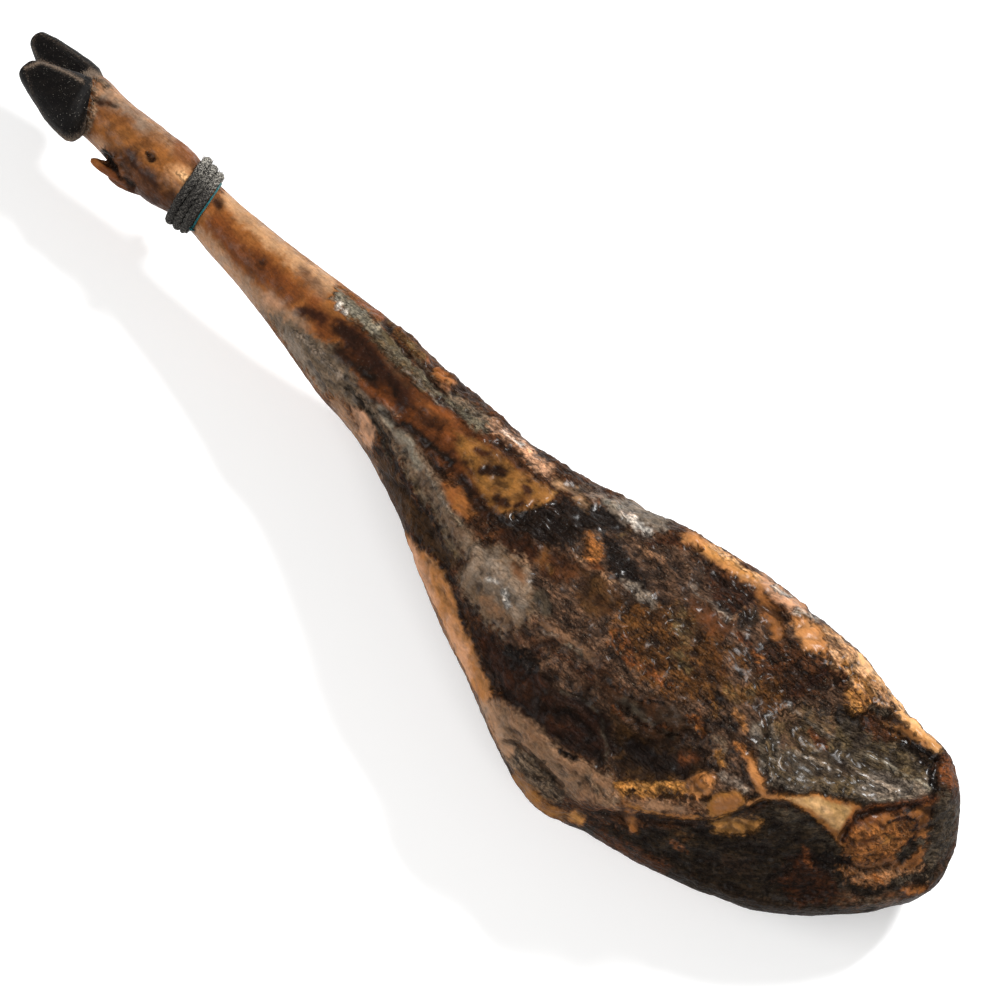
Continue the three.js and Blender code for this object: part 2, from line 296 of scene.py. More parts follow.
def cloud(tree, vector, size, detail=4.0, roughness=0.55, distortion=0.0):
    node = addNode(tree, "ShaderNodeTexNoise")
    tree.links.new(vector, node.inputs["Vector"])
    node.inputs["Scale"].default_value = 1 / size
    node.inputs["Detail"].default_value = detail
    node.inputs["Roughness"].default_value = roughness
    node.inputs["Distortion"].default_value = distortion
    return node.outputs["Fac"]


def speckleEffect():
    # soft or crisp specks, as a mask
    group = bpy.data.node_groups.new("speckles", "ShaderNodeTree")
    group.interface.new_socket("Place", in_out="INPUT", socket_type="NodeSocketVector")
    for name in ("Scale", "Detail", "Roughness", "Low", "High"):
        group.interface.new_socket(name, in_out="INPUT", socket_type="NodeSocketFloat")
    group.interface.new_socket("Mask", in_out="OUTPUT", socket_type="NodeSocketFloat")
    given = addNode(group, "NodeGroupInput").outputs
    clouds = addNode(group, "ShaderNodeTexNoise")
    group.links.new(given["Place"], clouds.inputs["Vector"])
    for name in ("Scale", "Detail", "Roughness"):
        group.links.new(given[name], clouds.inputs[name])
    mask = addNode(group, "ShaderNodeMapRange", interpolation_type="SMOOTHSTEP")
    group.links.new(clouds.outputs["Fac"], mask.inputs["Value"])
    group.links.new(given["Low"], mask.inputs["From Min"])
    group.links.new(given["High"], mask.inputs["From Max"])
    result = addNode(group, "NodeGroupOutput")
    group.links.new(mask.outputs["Result"], result.inputs["Mask"])
    return group


speckleGroup = speckleEffect()


def speckles(tree, place, size, detail, roughness, low, high):
    node = addNode(tree, "ShaderNodeGroup", node_tree=speckleGroup)
    tree.links.new(place, node.inputs["Place"])
    node.inputs["Scale"].default_value = 1 / size
    node.inputs["Detail"].default_value = detail
    node.inputs["Roughness"].default_value = roughness
    node.inputs["Low"].default_value = low
    node.inputs["High"].default_value = high
    return node.outputs["Mask"]


def bumped(tree, shader, height, strength, distance):
    bump = addNode(tree, "ShaderNodeBump")
    bump.inputs["Strength"].default_value = strength
    bump.inputs["Distance"].default_value = distance
    tree.links.new(height, bump.inputs["Height"])
    tree.links.new(bump.outputs["Normal"], shader.inputs["Normal"])


def attribute(tree, name, output="Fac"):
    return addNode(tree, "ShaderNodeAttribute", attribute_name=name).outputs[output]


def objectPlace(tree):
    return addNode(tree, "ShaderNodeTexCoord").outputs["Object"]


def stretched(tree, vector, scale):
    # small numbers draw a pattern out along that axis
    mapping = addNode(tree, "ShaderNodeMapping")
    tree.links.new(vector, mapping.inputs["Vector"])
    mapping.inputs["Scale"].default_value = scale
    return mapping.outputs["Vector"]


# The ham's surface
ham = {
    "voxel": 1.45 * mm,
    "smoothing": 3,
    "lumpHeight": 2.2 * mm,  # low swellings all over
    "lumpSize": 26 * mm,
    "dentHeight": 1.9 * mm,
    "dentSize": 9 * mm,
    "rippleHeight": 0.35 * mm,
    "rippleSize": 4.5 * mm,
    "cragHeight": 1.7 * mm,  # torn meat near the rims
    "cragSize": 5 * mm,
    "facesKept": 0.735,  # when the sides and the underside are thinned
    "facing": (0.02, 0.22),  # how far a place turns to the picture before its marks show
    "reliefEdge": (5.0, 0.7),  # softness of an outlined relief, and of a stroke as a share of its width
    "reliefWaver": 0.4,
    "cragEdge": 6.0,
    "mostRelief": 4.0 * mm,
    "body": (-0.14, 0.02),  # where the shank turns into the body, along the leg
    "shankLumps": 0.22,
    "flank": (-0.1, 0.6),  # upward share of the normal at the sides and on top
    "flankLumps": 0.4,
    "restHeight": 6 * mm,  # nothing is raised or sunk at the floor
    "headroom": 2 * mm,
    "waver": 7.0,  # pixels that the borders wander
    "waverLeast": 0.35,  # share of that for a crisp border
    "waverSoftness": 12,  # and the pixels of softness that add a whole one
    "raggedLoss": 0.6,  # how much crisper a ragged border is
    "softLeast": 0.3,
    "chipDepth": 1.1,
    "waverCoarse": (13 * mm, 0.65),
    "waverFine": (4.5 * mm, 0.4),
    "crumbSize": 2.6 * mm,  # how the borders crumble
    "bitSize": 1.7 * mm,
    "blotchSize": 38 * mm,  # uneven borders of the grounds that lie under all marks
    "patchSize": 15 * mm,
    "bodyWander": 0.03,
    "butt": (0.24, 0.31),  # where the body turns into the butt, along the leg
    "buttWander": 0.04,
    "buttFrom": 0.25,
    "under": (0.1, -0.5),  # upward share of the normal, from the sides to the rind below
    "underWander": 0.25,
    "thinned": (0.25, -0.4),  # and from where the faces are kept to where they are thinned
    "hollowRounds": 14,
    "hollowGain": 0.9,
}

tones = {
    "tan": (98, 61, 35),
    "fawn": (132, 100, 74),
    "buff": (152, 117, 84),
    "amber": (116, 73, 36),
    "chestnut": (92, 50, 22),
    "rust": (94, 52, 25),
    "umber": (61, 36, 19),
    "bark": (45, 23, 10),
    "plum": (38, 20, 12),
    "soot": (19, 11, 6),
    "tar": (15, 9, 6),
    "mould": (102, 96, 84),
    "moss": (82, 76, 62),
    "ash": (106, 95, 84),
    "wax": (86, 67, 49),
    "stone": (92, 77, 62),
    "slate": (58, 50, 40),
    "peach": (158, 118, 90),
    "rose": (104, 77, 56),
    "oliveBrown": (57, 38, 20),
    "olive": (76, 61, 38),
    "ochre": (110, 74, 35),
    "golden": (74, 46, 20),
    "orangeFat": (141, 97, 57),
    "gold": (142, 99, 51),
    "cream": (180, 142, 102),
    "bone": (124, 98, 60),
    "char": (33, 25, 16),
    "taupe": (74, 54, 40),
    "murk": (42, 31, 22),
    "ivory": (150, 122, 82),
    "rind": (84, 52, 30),
    # the white of painted highlights
    "highlightWhite": (188, 180, 170),
}

# each kind of surface: gloss, wrinkles, grit, mottling and how ragged its borders are, 0 to 1,
# and which way its wrinkles run, in degrees from the leg's own length
finishes = {
    "skin": {"gloss": 0.62, "wrinkle": 0.20, "grit": 0.10, "mottling": 0.12, "ragged": 0.4, "turn": 0},
    "crust": {"gloss": 0.30, "wrinkle": 0.85, "grit": 0.30, "mottling": 1.00, "ragged": 1.0, "turn": 0},
    "wax": {"gloss": 0.50, "wrinkle": 0.34, "grit": 0.15, "mottling": 0.32, "ragged": 0.6, "turn": 0},
    "lean": {"gloss": 0.22, "wrinkle": 0.50, "grit": 0.05, "mottling": 0.40, "ragged": 0.7, "turn": 0},
    "wet": {"gloss": 1.00, "wrinkle": 0.80, "grit": 0.10, "mottling": 0.60, "ragged": 0.8, "turn": 0},
    "fat": {"gloss": 0.50, "wrinkle": 0.12, "grit": 0.10, "mottling": 0.24, "ragged": 0.5, "turn": 0},
    "mould": {"gloss": 0.25, "wrinkle": 0.95, "grit": 0.60, "mottling": 0.50, "ragged": 0.8, "turn": 0},
    "rind": {"gloss": 0.26, "wrinkle": 0.95, "grit": 0.10, "mottling": 0.85, "ragged": 0.8, "turn": 43},
    "ribbed": {"gloss": 0.45, "wrinkle": 0.90, "grit": 0.10, "mottling": 0.80, "ragged": 0.8, "turn": 18},
    "ribbedWet": {"gloss": 1.0, "wrinkle": 0.95, "grit": 0.05, "mottling": 0.7, "ragged": 0.8, "turn": 18},
    "bone": {"gloss": 0.35, "wrinkle": 0.10, "grit": 0.10, "mottling": 0.30, "ragged": 0.2, "turn": 0},
}

# what lies over what, from the broad grounds to the small marks:
# main colour, second colour, finish, half width (None for an outlined area),
# softness of the border, places in the picture
# a few pale strokes in a wet finish are painted highlights and reflections, and a few dark ones painted
# shade; each is marked where it stands
coats = {
    "foot": [
        ("tan", "umber", "skin", None, 8,
         [(60, 40), (120, 70), (215, 150), (222, 185), (190, 235), (150, 220), (70, 150)]),
        ("fawn", "umber", "skin", 9, 7, [(106, 88), (124, 104), (146, 124), (170, 142)]),
        ("ash", "umber", "skin", 7, 7, [(106, 100), (124, 114), (144, 128)]),
        ("amber", "umber", "skin", 17, 12, [(112, 128), (140, 146), (176, 178)]),
        ("fawn", "tan", "skin", 6, 6, [(88, 142), (102, 148)]),
        ("umber", "bark", "skin", 12, 9, [(110, 162), (132, 182), (158, 202), (182, 222)]),
        ("bark", "soot", "skin", 7, 7, [(128, 154), (142, 168), (158, 184)]),
        ("tan", "rust", "skin", 5, 6, [(178, 146), (192, 156)]),
        ("umber", "bark", "skin", 3, 4, [(97, 101), (114, 104)]),
        # painted highlight on the bulge before the tie: a paler buff patch with a cream stroke on it
        ("buff", "amber", "skin", 8, 8, [(178, 172), (188, 182), (186, 194)]),
        ("cream", "buff", "wet", 3, 4, [(184, 176), (188, 186)]),
        ("umber", "bark", "skin", 5, 5, [(172, 196), (178, 208)]),
        ("umber", "bark", "crust", 2, 2, [(148, 155), (151, 160)]),
        ("soot", "tar", "crust", 4, 3, [(106, 152), (112, 166), (120, 178), (132, 186)]),
        ("stone", "fawn", "mould", 2.5, 3, [(93, 86), (97, 97), (94, 109), (90, 121), (84, 137)]),
        ("stone", "umber", "mould", 3.5, 4, [(90, 76), (100, 78), (107, 86)]),
        ("bark", "soot", "skin", 6, 5, [(132, 190), (152, 204)]),
        ("umber", "tan", "skin", 2, 2, [(118, 160), (124, 174)]),
        ("amber", "rust", "skin", 5, 4, [(90, 162), (100, 168)]),
        ("umber", "rust", "skin", 5, 5, [(104, 172), (120, 184)]),
    ],
    "shank behind the tie": [
        ("amber", "chestnut", "skin", None, 9,
         [(190, 215), (228, 190), (300, 255), (350, 300), (350, 350), (310, 345), (250, 300)]),
        ("chestnut", "umber", "skin", 12, 10, [(216, 226), (240, 252), (262, 272), (290, 292)]),
        ("buff", "fawn", "skin", 8, 7, [(228, 198), (262, 230), (304, 266), (328, 286)]),
        ("fawn", "ash", "skin", 10, 8, [(198, 236), (226, 270), (254, 300), (296, 326)]),
        ("plum", "umber", "skin", 5, 6, [(215, 202), (221, 207)]),
        ("chestnut", "plum", "skin", 6, 7, [(256, 258), (266, 266), (276, 282)]),
        ("rose", "umber", "skin", 7, 8, [(302, 270), (322, 294)]),
        ("chestnut", "rust", "skin", 10, 8, [(312, 304), (326, 334)]),
        ("plum", "bark", "skin", 7, 6, [(302, 312), (322, 318)]),
        ("peach", "fawn", "skin", 5, 5, [(268, 298), (280, 306)]),
    ],
    "waxy side of the shank": [
        ("stone", "slate", "wax", None, 7,
         [(264, 312), (284, 318), (310, 334), (334, 346), (356, 378), (372, 404), (352, 408), (322, 388),
          (294, 356)]),
        ("ash", "stone", "wax", 4, 4, [(284, 334), (304, 360), (322, 388)]),
        ("slate", "stone", "wax", 1.5, 2, [(306, 350), (322, 374), (334, 396)]),
        ("ash", "stone", "wet", 3, 4, [(296, 334), (320, 354), (342, 378)]),
        ("stone", "taupe", "wax", None, 6,
         [(350, 380), (374, 396), (394, 420), (412, 436), (432, 466), (448, 490), (464, 520), (482, 548),
          (470, 566), (446, 530), (424, 492), (398, 456), (374, 428), (358, 404)]),
        ("mould", "ash", "wax", 4, 5, [(378, 412), (400, 436), (420, 466)]),
        ("ash", "olive", "wet", 2, 3, [(426, 470), (444, 500), (458, 524)]),
        ("fawn", "umber", "skin", 5, 5, [(334, 404), (352, 430), (366, 456), (380, 478)]),
        ("peach", "rose", "fat", None, 3, [(350, 408), (366, 410), (376, 430), (372, 450), (362, 440)]),
        ("oliveBrown", "soot", "lean", None, 5,
         [(374, 452), (392, 462), (408, 486), (426, 512), (444, 540), (460, 562), (448, 572), (424, 550),
          (402, 516), (382, 482)]),
        ("slate", "tar", "crust", 1.5, 2, [(342, 384), (362, 400), (374, 420), (384, 446), (394, 466)]),
        ("stone", "tar", "crust", 1.2, 2, [(366, 398), (384, 424), (398, 450), (412, 478)]),
        ("stone", "tar", "crust", 1.2, 2, [(378, 420), (392, 446), (404, 470)]),
        ("tar", "plum", "crust", 2, 3, [(396, 466), (414, 492), (432, 520), (452, 552)]),
        ("stone", "olive", "wax", 2.5, 4, [(408, 470), (424, 496), (440, 524), (458, 556)]),
    ],
    "brown skin of the upper side": [
        ("bark", "chestnut", "skin", None, 6,
         [(330, 314), (360, 328), (400, 368), (440, 404), (480, 432), (525, 470), (556, 496), (506, 522),
          (470, 492), (440, 462), (404, 430), (370, 392), (342, 356)]),
        ("plum", "soot", "skin", 10, 7, [(342, 330), (366, 352), (390, 378), (402, 398)]),
        ("soot", "plum", "skin", 6, 6, [(338, 352), (354, 364), (372, 378)]),
        ("umber", "slate", "skin", 3, 5, [(372, 338), (392, 364), (408, 386)]),
        ("bark", "chestnut", "skin", None, 7,
         [(408, 392), (436, 402), (470, 428), (480, 446), (462, 456), (436, 440), (414, 418)]),
        ("umber", "chestnut", "skin", 5, 6, [(420, 402), (444, 418), (462, 436)]),
        ("chestnut", "amber", "skin", 3, 4, [(430, 406), (452, 420)]),
        ("soot", "tar", "skin", 4, 4, [(404, 424), (430, 444), (452, 462)]),
        ("ochre", "bark", "skin", None, 5,
         [(452, 432), (484, 442), (520, 468), (554, 494), (532, 508), (508, 518), (488, 506),
          (470, 478)]),
        ("bark", "soot", "skin", 4, 3, [(478, 450), (488, 454)]),
        ("soot", "bark", "skin", 6, 3, [(484, 470), (500, 472)]),
        ("soot", "bark", "skin", 5, 3, [(496, 500), (506, 503)]),
        ("bark", "soot", "skin", 5, 3, [(525, 484), (528, 492)]),
        ("bark", "soot", "skin", 3, 3, [(466, 462), (472, 474)]),
        ("bark", "soot", "skin", 3, 3, [(514, 504), (522, 502)]),
        ("soot", "bark", "skin", 5, 4, [(486, 516), (470, 500), (462, 482)]),
        ("umber", "plum", "skin", 2, 4, [(508, 456), (524, 468)]),
        ("gold", "ochre", "skin", 1.5, 2, [(504, 520), (524, 511), (542, 504), (556, 492)]),
        ("ochre", "umber", "skin", 1.2, 2, [(512, 476), (530, 486), (544, 500)]),
        ("amber", "rust", "fat", None, 4, [(444, 484), (460, 488), (474, 512), (466, 522), (450, 506)]),
        ("rust", "chestnut", "skin", 3, 3, [(360, 384), (378, 398), (398, 414)]),
        ("peach", "rust", "wet", 1.3, 2, [(386, 406), (398, 416)]),
    ],
    "mouldy strip": [
        ("moss", "slate", "mould", None, 5,
         [(336, 290), (356, 302), (380, 324), (408, 352), (446, 392), (484, 416), (500, 432), (478, 430),
          (448, 406), (414, 376), (380, 344), (346, 314)]),
        ("mould", "moss", "mould", 5, 5, [(340, 298), (358, 312), (376, 330)]),
        ("slate", "olive", "mould", 4, 4, [(376, 338), (400, 362), (424, 388)]),
        ("olive", "moss", "skin", 2.5, 3, [(384, 334), (396, 346)]),
        ("ash", "slate", "wet", 1.2, 1.5, [(404, 368), (420, 384), (436, 400), (452, 410)]),
        # a white stroke of painted sheen
        ("highlightWhite", "mould", "wet", 2, 3, [(338, 304), (346, 311)]),
        ("rust", "chestnut", "skin", 2.5, 3, [(358, 302), (370, 308), (382, 318)]),
        ("olive", "umber", "mould", 3, 3, [(390, 324), (404, 338), (424, 358)]),
        ("umber", "tar", "crust", 1.5, 2, [(386, 326), (404, 350), (420, 368), (436, 384), (448, 396)]),
        ("amber", "rust", "fat", 3, 2, [(434, 370), (444, 377)]),
        ("rose", "rust", "fat", 2.5, 2, [(444, 384), (452, 390)]),
        ("rust", "orangeFat", "fat", 2, 2, [(426, 358), (440, 370), (456, 384)]),
        ("stone", "slate", "mould", 4, 4, [(456, 398), (476, 412), (494, 424)]),
        ("peach", "rose", "wet", 5, 5, [(494, 426), (514, 440), (532, 456), (548, 470)]),
        # a white stroke of painted highlight
        ("highlightWhite", "peach", "wet", 1.5, 2, [(504, 432), (522, 446)]),
        ("buff", "umber", "skin", 4, 4, [(556, 482), (582, 492)]),
        ("ash", "umber", "crust", 5, 5, [(584, 490), (612, 502)]),
    ],
    "ground of the cut side": [
        ("taupe", "tar", "crust", None, 10,
         [(500, 520), (600, 500), (700, 560), (790, 620), (850, 700), (780, 790), (690, 800), (600, 770),
          (540, 700), (500, 640)]),
        ("golden", "tar", "crust", None, 12,
         [(612, 606), (650, 600), (694, 612), (724, 650), (716, 704), (666, 694), (618, 650)]),
        ("golden", "rust", "crust", 5, 7, [(616, 640), (636, 662), (664, 684)]),
        ("olive", "umber", "crust", 9, 8, [(676, 616), (686, 636)]),
        ("olive", "soot", "crust", 6, 6, [(676, 656), (690, 668)]),
        ("umber", "bark", "skin", 12, 9, [(700, 606), (722, 626)]),
        ("umber", "rust", "skin", 5, 6, [(704, 612), (718, 640)]),
        ("taupe", "soot", "crust", 12, 9, [(650, 556), (690, 584), (716, 598)]),
        ("taupe", "ash", "crust", 5, 6, [(692, 584), (712, 600), (728, 616)]),
        ("soot", "tar", "wet", None, 7,
         [(494, 518), (516, 508), (540, 510), (556, 502), (588, 502), (616, 512), (620, 530), (600, 532),
          (586, 530), (578, 546), (562, 550), (540, 548), (520, 534)]),
        ("bark", "soot", "lean", None, 7,
         [(500, 524), (526, 536), (544, 550), (534, 566), (512, 556), (496, 540)]),
        ("umber", "bark", "lean", None, 7,
         [(538, 556), (556, 550), (580, 560), (582, 578), (556, 584), (540, 574)]),
        ("oliveBrown", "bark", "lean", None, 7,
         [(580, 568), (606, 574), (618, 592), (612, 612), (590, 616), (578, 598)]),
        ("tar", "soot", "wet", None, 6,
         [(604, 532), (622, 540), (634, 562), (650, 586), (654, 606), (640, 600), (620, 584),
          (606, 568)]),
        # a pale stroke of painted glints along the black band
        ("ash", "slate", "wet", 4, 4, [(626, 584), (640, 594), (654, 606)]),
        ("amber", "umber", "crust", None, 3,
         [(588, 530), (602, 540), (604, 557), (597, 565), (587, 562), (577, 557), (585, 545)]),
        ("rust", "bark", "skin", 3, 3, [(590, 566), (600, 570)]),
        ("golden", "umber", "skin", 4, 4, [(546, 550), (539, 564)]),
        ("ochre", "umber", "skin", 2.5, 3, [(548, 566), (550, 570)]),
        ("fawn", "umber", "crust", 1.2, 2, [(577, 557), (590, 568), (604, 577), (618, 584)]),
        ("fawn", "bark", "crust", 1.2, 2, [(517, 550), (525, 556), (527, 566), (532, 571)]),
        ("fawn", "olive", "wax", 5, 5, [(580, 498), (590, 508)]),
        # painted reflection of the light: the grey patch near the upper edge, with strokes of painted
        # highlight in it
        ("ash", "slate", "wax", None, 7,
         [(604, 500), (626, 498), (648, 504), (672, 514), (668, 530), (644, 530), (624, 522),
          (608, 514)]),
        ("mould", "ash", "wet", 3, 3, [(608, 502), (620, 506)]),
        ("highlightWhite", "fawn", "wet", 3, 2, [(622, 512), (632, 518)]),
        ("highlightWhite", "ash", "wet", 3, 4, [(632, 520), (648, 532)]),
        ("olive", "umber", "crust", 1.5, 2, [(618, 536), (630, 530)]),
        ("tar", "soot", "wet", 5, 4, [(592, 510), (606, 514), (618, 526)]),
        ("bark", "soot", "crust", 4, 4, [(650, 542), (672, 540), (688, 544)]),
        ("fawn", "umber", "crust", 3, 4, [(646, 550), (664, 558)]),
    ],
    "waxy fat down the middle": [
        ("wax", "ash", "wax", None, 6,
         [(458, 574), (474, 556), (484, 546), (500, 546), (514, 556), (530, 570), (534, 600), (540, 622),
          (524, 634), (500, 640), (474, 616)]),
        ("ash", "wax", "wax", 5, 6, [(478, 552), (500, 572), (514, 590), (522, 606)]),
        ("rose", "wax", "wax", 6, 6, [(486, 600), (506, 624), (528, 636)]),
        ("umber", "rose", "skin", 4, 4, [(514, 566), (524, 578)]),
        # two white strokes of painted highlight
        ("highlightWhite", "ash", "wet", 2.5, 1.5, [(504, 590), (507, 606)]),
        ("highlightWhite", "ash", "wet", 1.5, 1.5, [(486, 579), (496, 583)]),
        ("slate", "soot", "wax", 7, 3, [(540, 596), (546, 612)]),
        ("taupe", "bark", "crust", None, 6,
         [(500, 636), (540, 618), (560, 630), (584, 650), (606, 664), (626, 684), (654, 700), (640, 712),
          (604, 698), (568, 682), (536, 662), (512, 650)]),
        ("rose", "taupe", "wax", 5, 5, [(544, 624), (566, 638), (586, 656)]),
        # a pale stroke of painted highlight
        ("ash", "rose", "wet", 1.5, 2, [(544, 633), (558, 636)]),
        ("mould", "rose", "wet", 1, 2, [(566, 644), (580, 654)]),
        ("murk", "umber", "wax", None, 6,
         [(600, 664), (620, 686), (650, 694), (680, 704), (690, 728), (680, 748), (656, 742), (626, 720),
          (604, 690)]),
        ("slate", "murk", "wax", 3, 4, [(624, 700), (650, 722), (672, 738)]),
        ("soot", "tar", "crust", 1.2, 2, [(604, 678), (622, 692), (640, 700), (664, 702)]),
        ("soot", "bark", "crust", 1.2, 2, [(626, 712), (648, 726), (668, 734), (684, 736)]),
        ("umber", "rust", "crust", 3, 3, [(614, 706), (622, 716)]),
        ("umber", "rust", "crust", 2, 3, [(662, 726), (668, 730)]),
    ],
    "dark lean of the left hollow": [
        ("soot", "plum", "lean", None, 7,
         [(456, 598), (470, 616), (496, 644), (532, 662), (556, 688), (596, 706), (612, 728), (612, 764),
          (572, 754), (540, 738), (512, 716), (492, 692), (478, 668), (466, 632)]),
        ("umber", "soot", "crust", 5, 6, [(470, 610), (486, 630), (500, 640)]),
        ("soot", "bark", "lean", 10, 9, [(508, 676), (536, 698), (556, 718)]),
        ("tar", "soot", "crust", 6, 5, [(504, 650), (520, 656), (534, 664)]),
        ("plum", "bark", "lean", 7, 7, [(484, 640), (496, 660), (508, 680)]),
        ("slate", "soot", "wax", 1.5, 2, [(562, 690), (584, 700), (600, 716), (606, 740), (606, 760)]),
        # the dark olive-brown lean in the dip above the lip is partly its own colour and partly painted
        # shade
        ("oliveBrown", "tar", "lean", None, 6,
         [(612, 716), (640, 734), (668, 746), (696, 750), (706, 764), (692, 778), (660, 782), (628, 780),
          (612, 766)]),
        # painted shade at the deepest part of the dip
        ("soot", "tar", "lean", 10, 8, [(632, 752), (660, 764), (684, 768)]),
        ("rust", "plum", "lean", 5, 5, [(684, 760), (704, 756)]),
    ],
    "left edge": [
        ("rose", "stone", "wax", None, 7,
         [(478, 690), (504, 704), (530, 722), (552, 742), (582, 762), (612, 776), (628, 796), (618, 808),
          (586, 804), (556, 786), (530, 764), (506, 742), (484, 716)]),
        ("stone", "soot", "crust", None, 6,
         [(500, 734), (530, 752), (552, 778), (562, 800), (530, 788), (506, 764)]),
        ("stone", "soot", "crust", 8, 6, [(520, 764), (540, 784), (556, 796)]),
        ("rose", "stone", "crust", 5, 5, [(590, 784), (604, 796), (614, 800)]),
        ("tar", "soot", "crust", 2, 2, [(560, 752), (574, 758)]),
        ("orangeFat", "amber", "fat", None, 5,
         [(402, 530), (440, 562), (456, 598), (470, 632), (480, 660), (494, 690), (480, 708), (458, 676),
          (436, 632), (416, 580), (402, 546)]),
        ("peach", "rose", "fat", 7, 6, [(410, 548), (420, 574), (432, 600)]),
        ("peach", "orangeFat", "fat", 6, 6, [(448, 620), (460, 650), (470, 676)]),
        ("fawn", "ash", "fat", 7, 6, [(484, 706), (496, 730), (508, 752)]),
        ("ochre", "umber", "fat", 7, 5, [(516, 780), (538, 804), (562, 818)]),
        ("umber", "soot", "crust", 3, 4, [(474, 640), (486, 668), (500, 690)]),
        ("bark", "soot", "crust", 2, 3, [(406, 528), (432, 556), (448, 572), (457, 600), (468, 632)]),
    ],
    "inside the right rim": [
        ("bark", "soot", "crust", None, 7, [(704, 562), (756, 590), (780, 616), (754, 626), (716, 606)]),
        ("umber", "fawn", "crust", 1.5, 2, [(733, 620), (742, 613), (753, 605)]),
        ("murk", "tar", "crust", 8, 5, [(744, 622), (756, 614)]),
        ("soot", "umber", "crust", None, 7,
         [(752, 640), (790, 636), (828, 650), (834, 690), (790, 704), (760, 694)]),
        ("umber", "plum", "crust", 2, 3, [(758, 652), (786, 650), (820, 662)]),
        ("umber", "bark", "crust", 1.5, 2, [(774, 668), (796, 660), (812, 664)]),
        ("plum", "bark", "crust", 3, 3, [(788, 698), (806, 684), (826, 672)]),
        ("rust", "bark", "crust", 3, 3, [(740, 638), (748, 642)]),
        ("rust", "amber", "crust", 3, 3, [(754, 654), (760, 658)]),
        ("golden", "umber", "crust", 5, 5, [(716, 640), (714, 660), (722, 680)]),
        ("golden", "soot", "crust", 5, 5, [(732, 650), (744, 664)]),
        ("golden", "olive", "crust", 8, 6, [(726, 690), (742, 698), (756, 688)]),
        ("tar", "soot", "crust", 3.5, 2, [(738, 673)]),
        ("golden", "tar", "crust", None, 6, [(758, 674), (782, 680), (784, 720), (770, 726), (758, 704)]),
    ],
    "torn ground between the hollows": [
        ("taupe", "tar", "crust", None, 6, [(694, 704), (762, 706), (774, 780), (712, 786), (692, 744)]),
        ("rust", "amber", "crust", 5, 4, [(694, 716), (704, 732)]),
        ("ochre", "bark", "crust", 3, 3, [(706, 690), (716, 706), (716, 716)]),
        ("stone", "golden", "crust", 3, 3, [(712, 738), (724, 746), (722, 760)]),
        ("orangeFat", "amber", "crust", 3, 3, [(736, 714), (746, 728)]),
        ("tar", "soot", "crust", 4, 3, [(729, 723), (736, 730)]),
        ("tar", "soot", "crust", 2.5, 3, [(706, 722), (708, 742)]),
        ("tar", "soot", "crust", 3, 3, [(716, 696), (722, 702)]),
        ("amber", "umber", "crust", 4, 4, [(736, 744), (748, 756), (752, 768)]),
        ("slate", "ash", "wet", 6, 4, [(756, 728), (762, 746), (764, 768)]),
        ("amber", "orangeFat", "fat", 4, 3, [(748, 754), (754, 770), (762, 784)]),
        ("ochre", "umber", "wet", 4, 3, [(716, 752), (722, 764)]),
    ],
    "fat of the right rim": [
        ("orangeFat", "umber", "fat", 7, 4, [(688, 538), (706, 548), (740, 572), (762, 586)]),
        ("gold", "orangeFat", "fat", 5, 4, [(708, 548), (736, 566), (758, 580)]),
        # a cream stroke of painted highlight along the rim
        ("cream", "gold", "wet", 1.5, 3, [(712, 547), (736, 562), (760, 578)]),
        ("umber", "amber", "crust", 2, 2, [(690, 546), (700, 548)]),
        # the peach fat here is partly its own colour and partly painted highlight; the white strokes are
        # painted highlights
        ("peach", "rose", "fat", 6, 5, [(764, 578), (784, 596), (802, 610)]),
        ("highlightWhite", "rose", "wet", 1.5, 2, [(774, 586), (790, 598)]),
        ("slate", "highlightWhite", "wet", 3, 3, [(796, 612), (816, 620)]),
        ("amber", "umber", "fat", 7, 5, [(762, 596), (772, 616), (776, 632)]),
        ("orangeFat", "amber", "fat", None, 5,
         [(790, 616), (806, 618), (824, 630), (836, 646), (828, 656), (808, 650), (796, 634)]),
        ("gold", "amber", "fat", 3, 3, [(826, 628), (830, 634)]),
        ("buff", "umber", "crust", None, 5,
         [(822, 626), (846, 638), (876, 668), (898, 702), (884, 712), (866, 698), (850, 688),
          (834, 666)]),
        ("ochre", "umber", "crust", 4, 4, [(842, 664), (862, 684), (872, 700)]),
        ("bark", "soot", "crust", 3, 3, [(842, 668), (844, 682)]),
        ("golden", "plum", "crust", None, 6,
         [(862, 708), (892, 716), (902, 742), (880, 740), (862, 728)]),
        ("gold", "umber", "crust", None, 4,
         [(844, 694), (854, 686), (870, 694), (868, 710), (852, 718), (846, 710)]),
        ("gold", "orangeFat", "wet", 2, 2, [(854, 702), (858, 705)]),
        ("cream", "gold", "fat", 4, 3, [(860, 656), (878, 676), (892, 693), (904, 709)]),
        ("gold", "cream", "fat", 6, 3, [(904, 712), (918, 730), (936, 748)]),
        ("orangeFat", "amber", "fat", 5, 3, [(900, 728), (912, 740), (922, 746)]),
        ("ochre", "fawn", "crust", 2, 3, [(868, 676), (884, 694), (898, 716)]),
        ("umber", "tar", "crust", 1.5, 3, [(696, 552), (712, 568), (736, 584), (758, 600)]),
    ],
    "scooped hollow": [
        ("slate", "olive", "ribbed", None, 6,
         [(764, 730), (800, 712), (850, 722), (905, 744), (934, 765), (930, 797), (866, 804), (815, 796),
          (770, 779)]),
        ("taupe", "olive", "ribbed", None, 6,
         [(774, 716), (800, 704), (836, 714), (838, 738), (812, 752), (780, 750)]),
        ("umber", "rust", "ribbed", 3, 3, [(810, 732), (824, 748)]),
        ("slate", "murk", "ribbed", None, 6,
         [(776, 752), (830, 752), (862, 772), (840, 782), (782, 772)]),
        ("murk", "slate", "ribbed", 7, 5, [(842, 716), (854, 730), (862, 742)]),
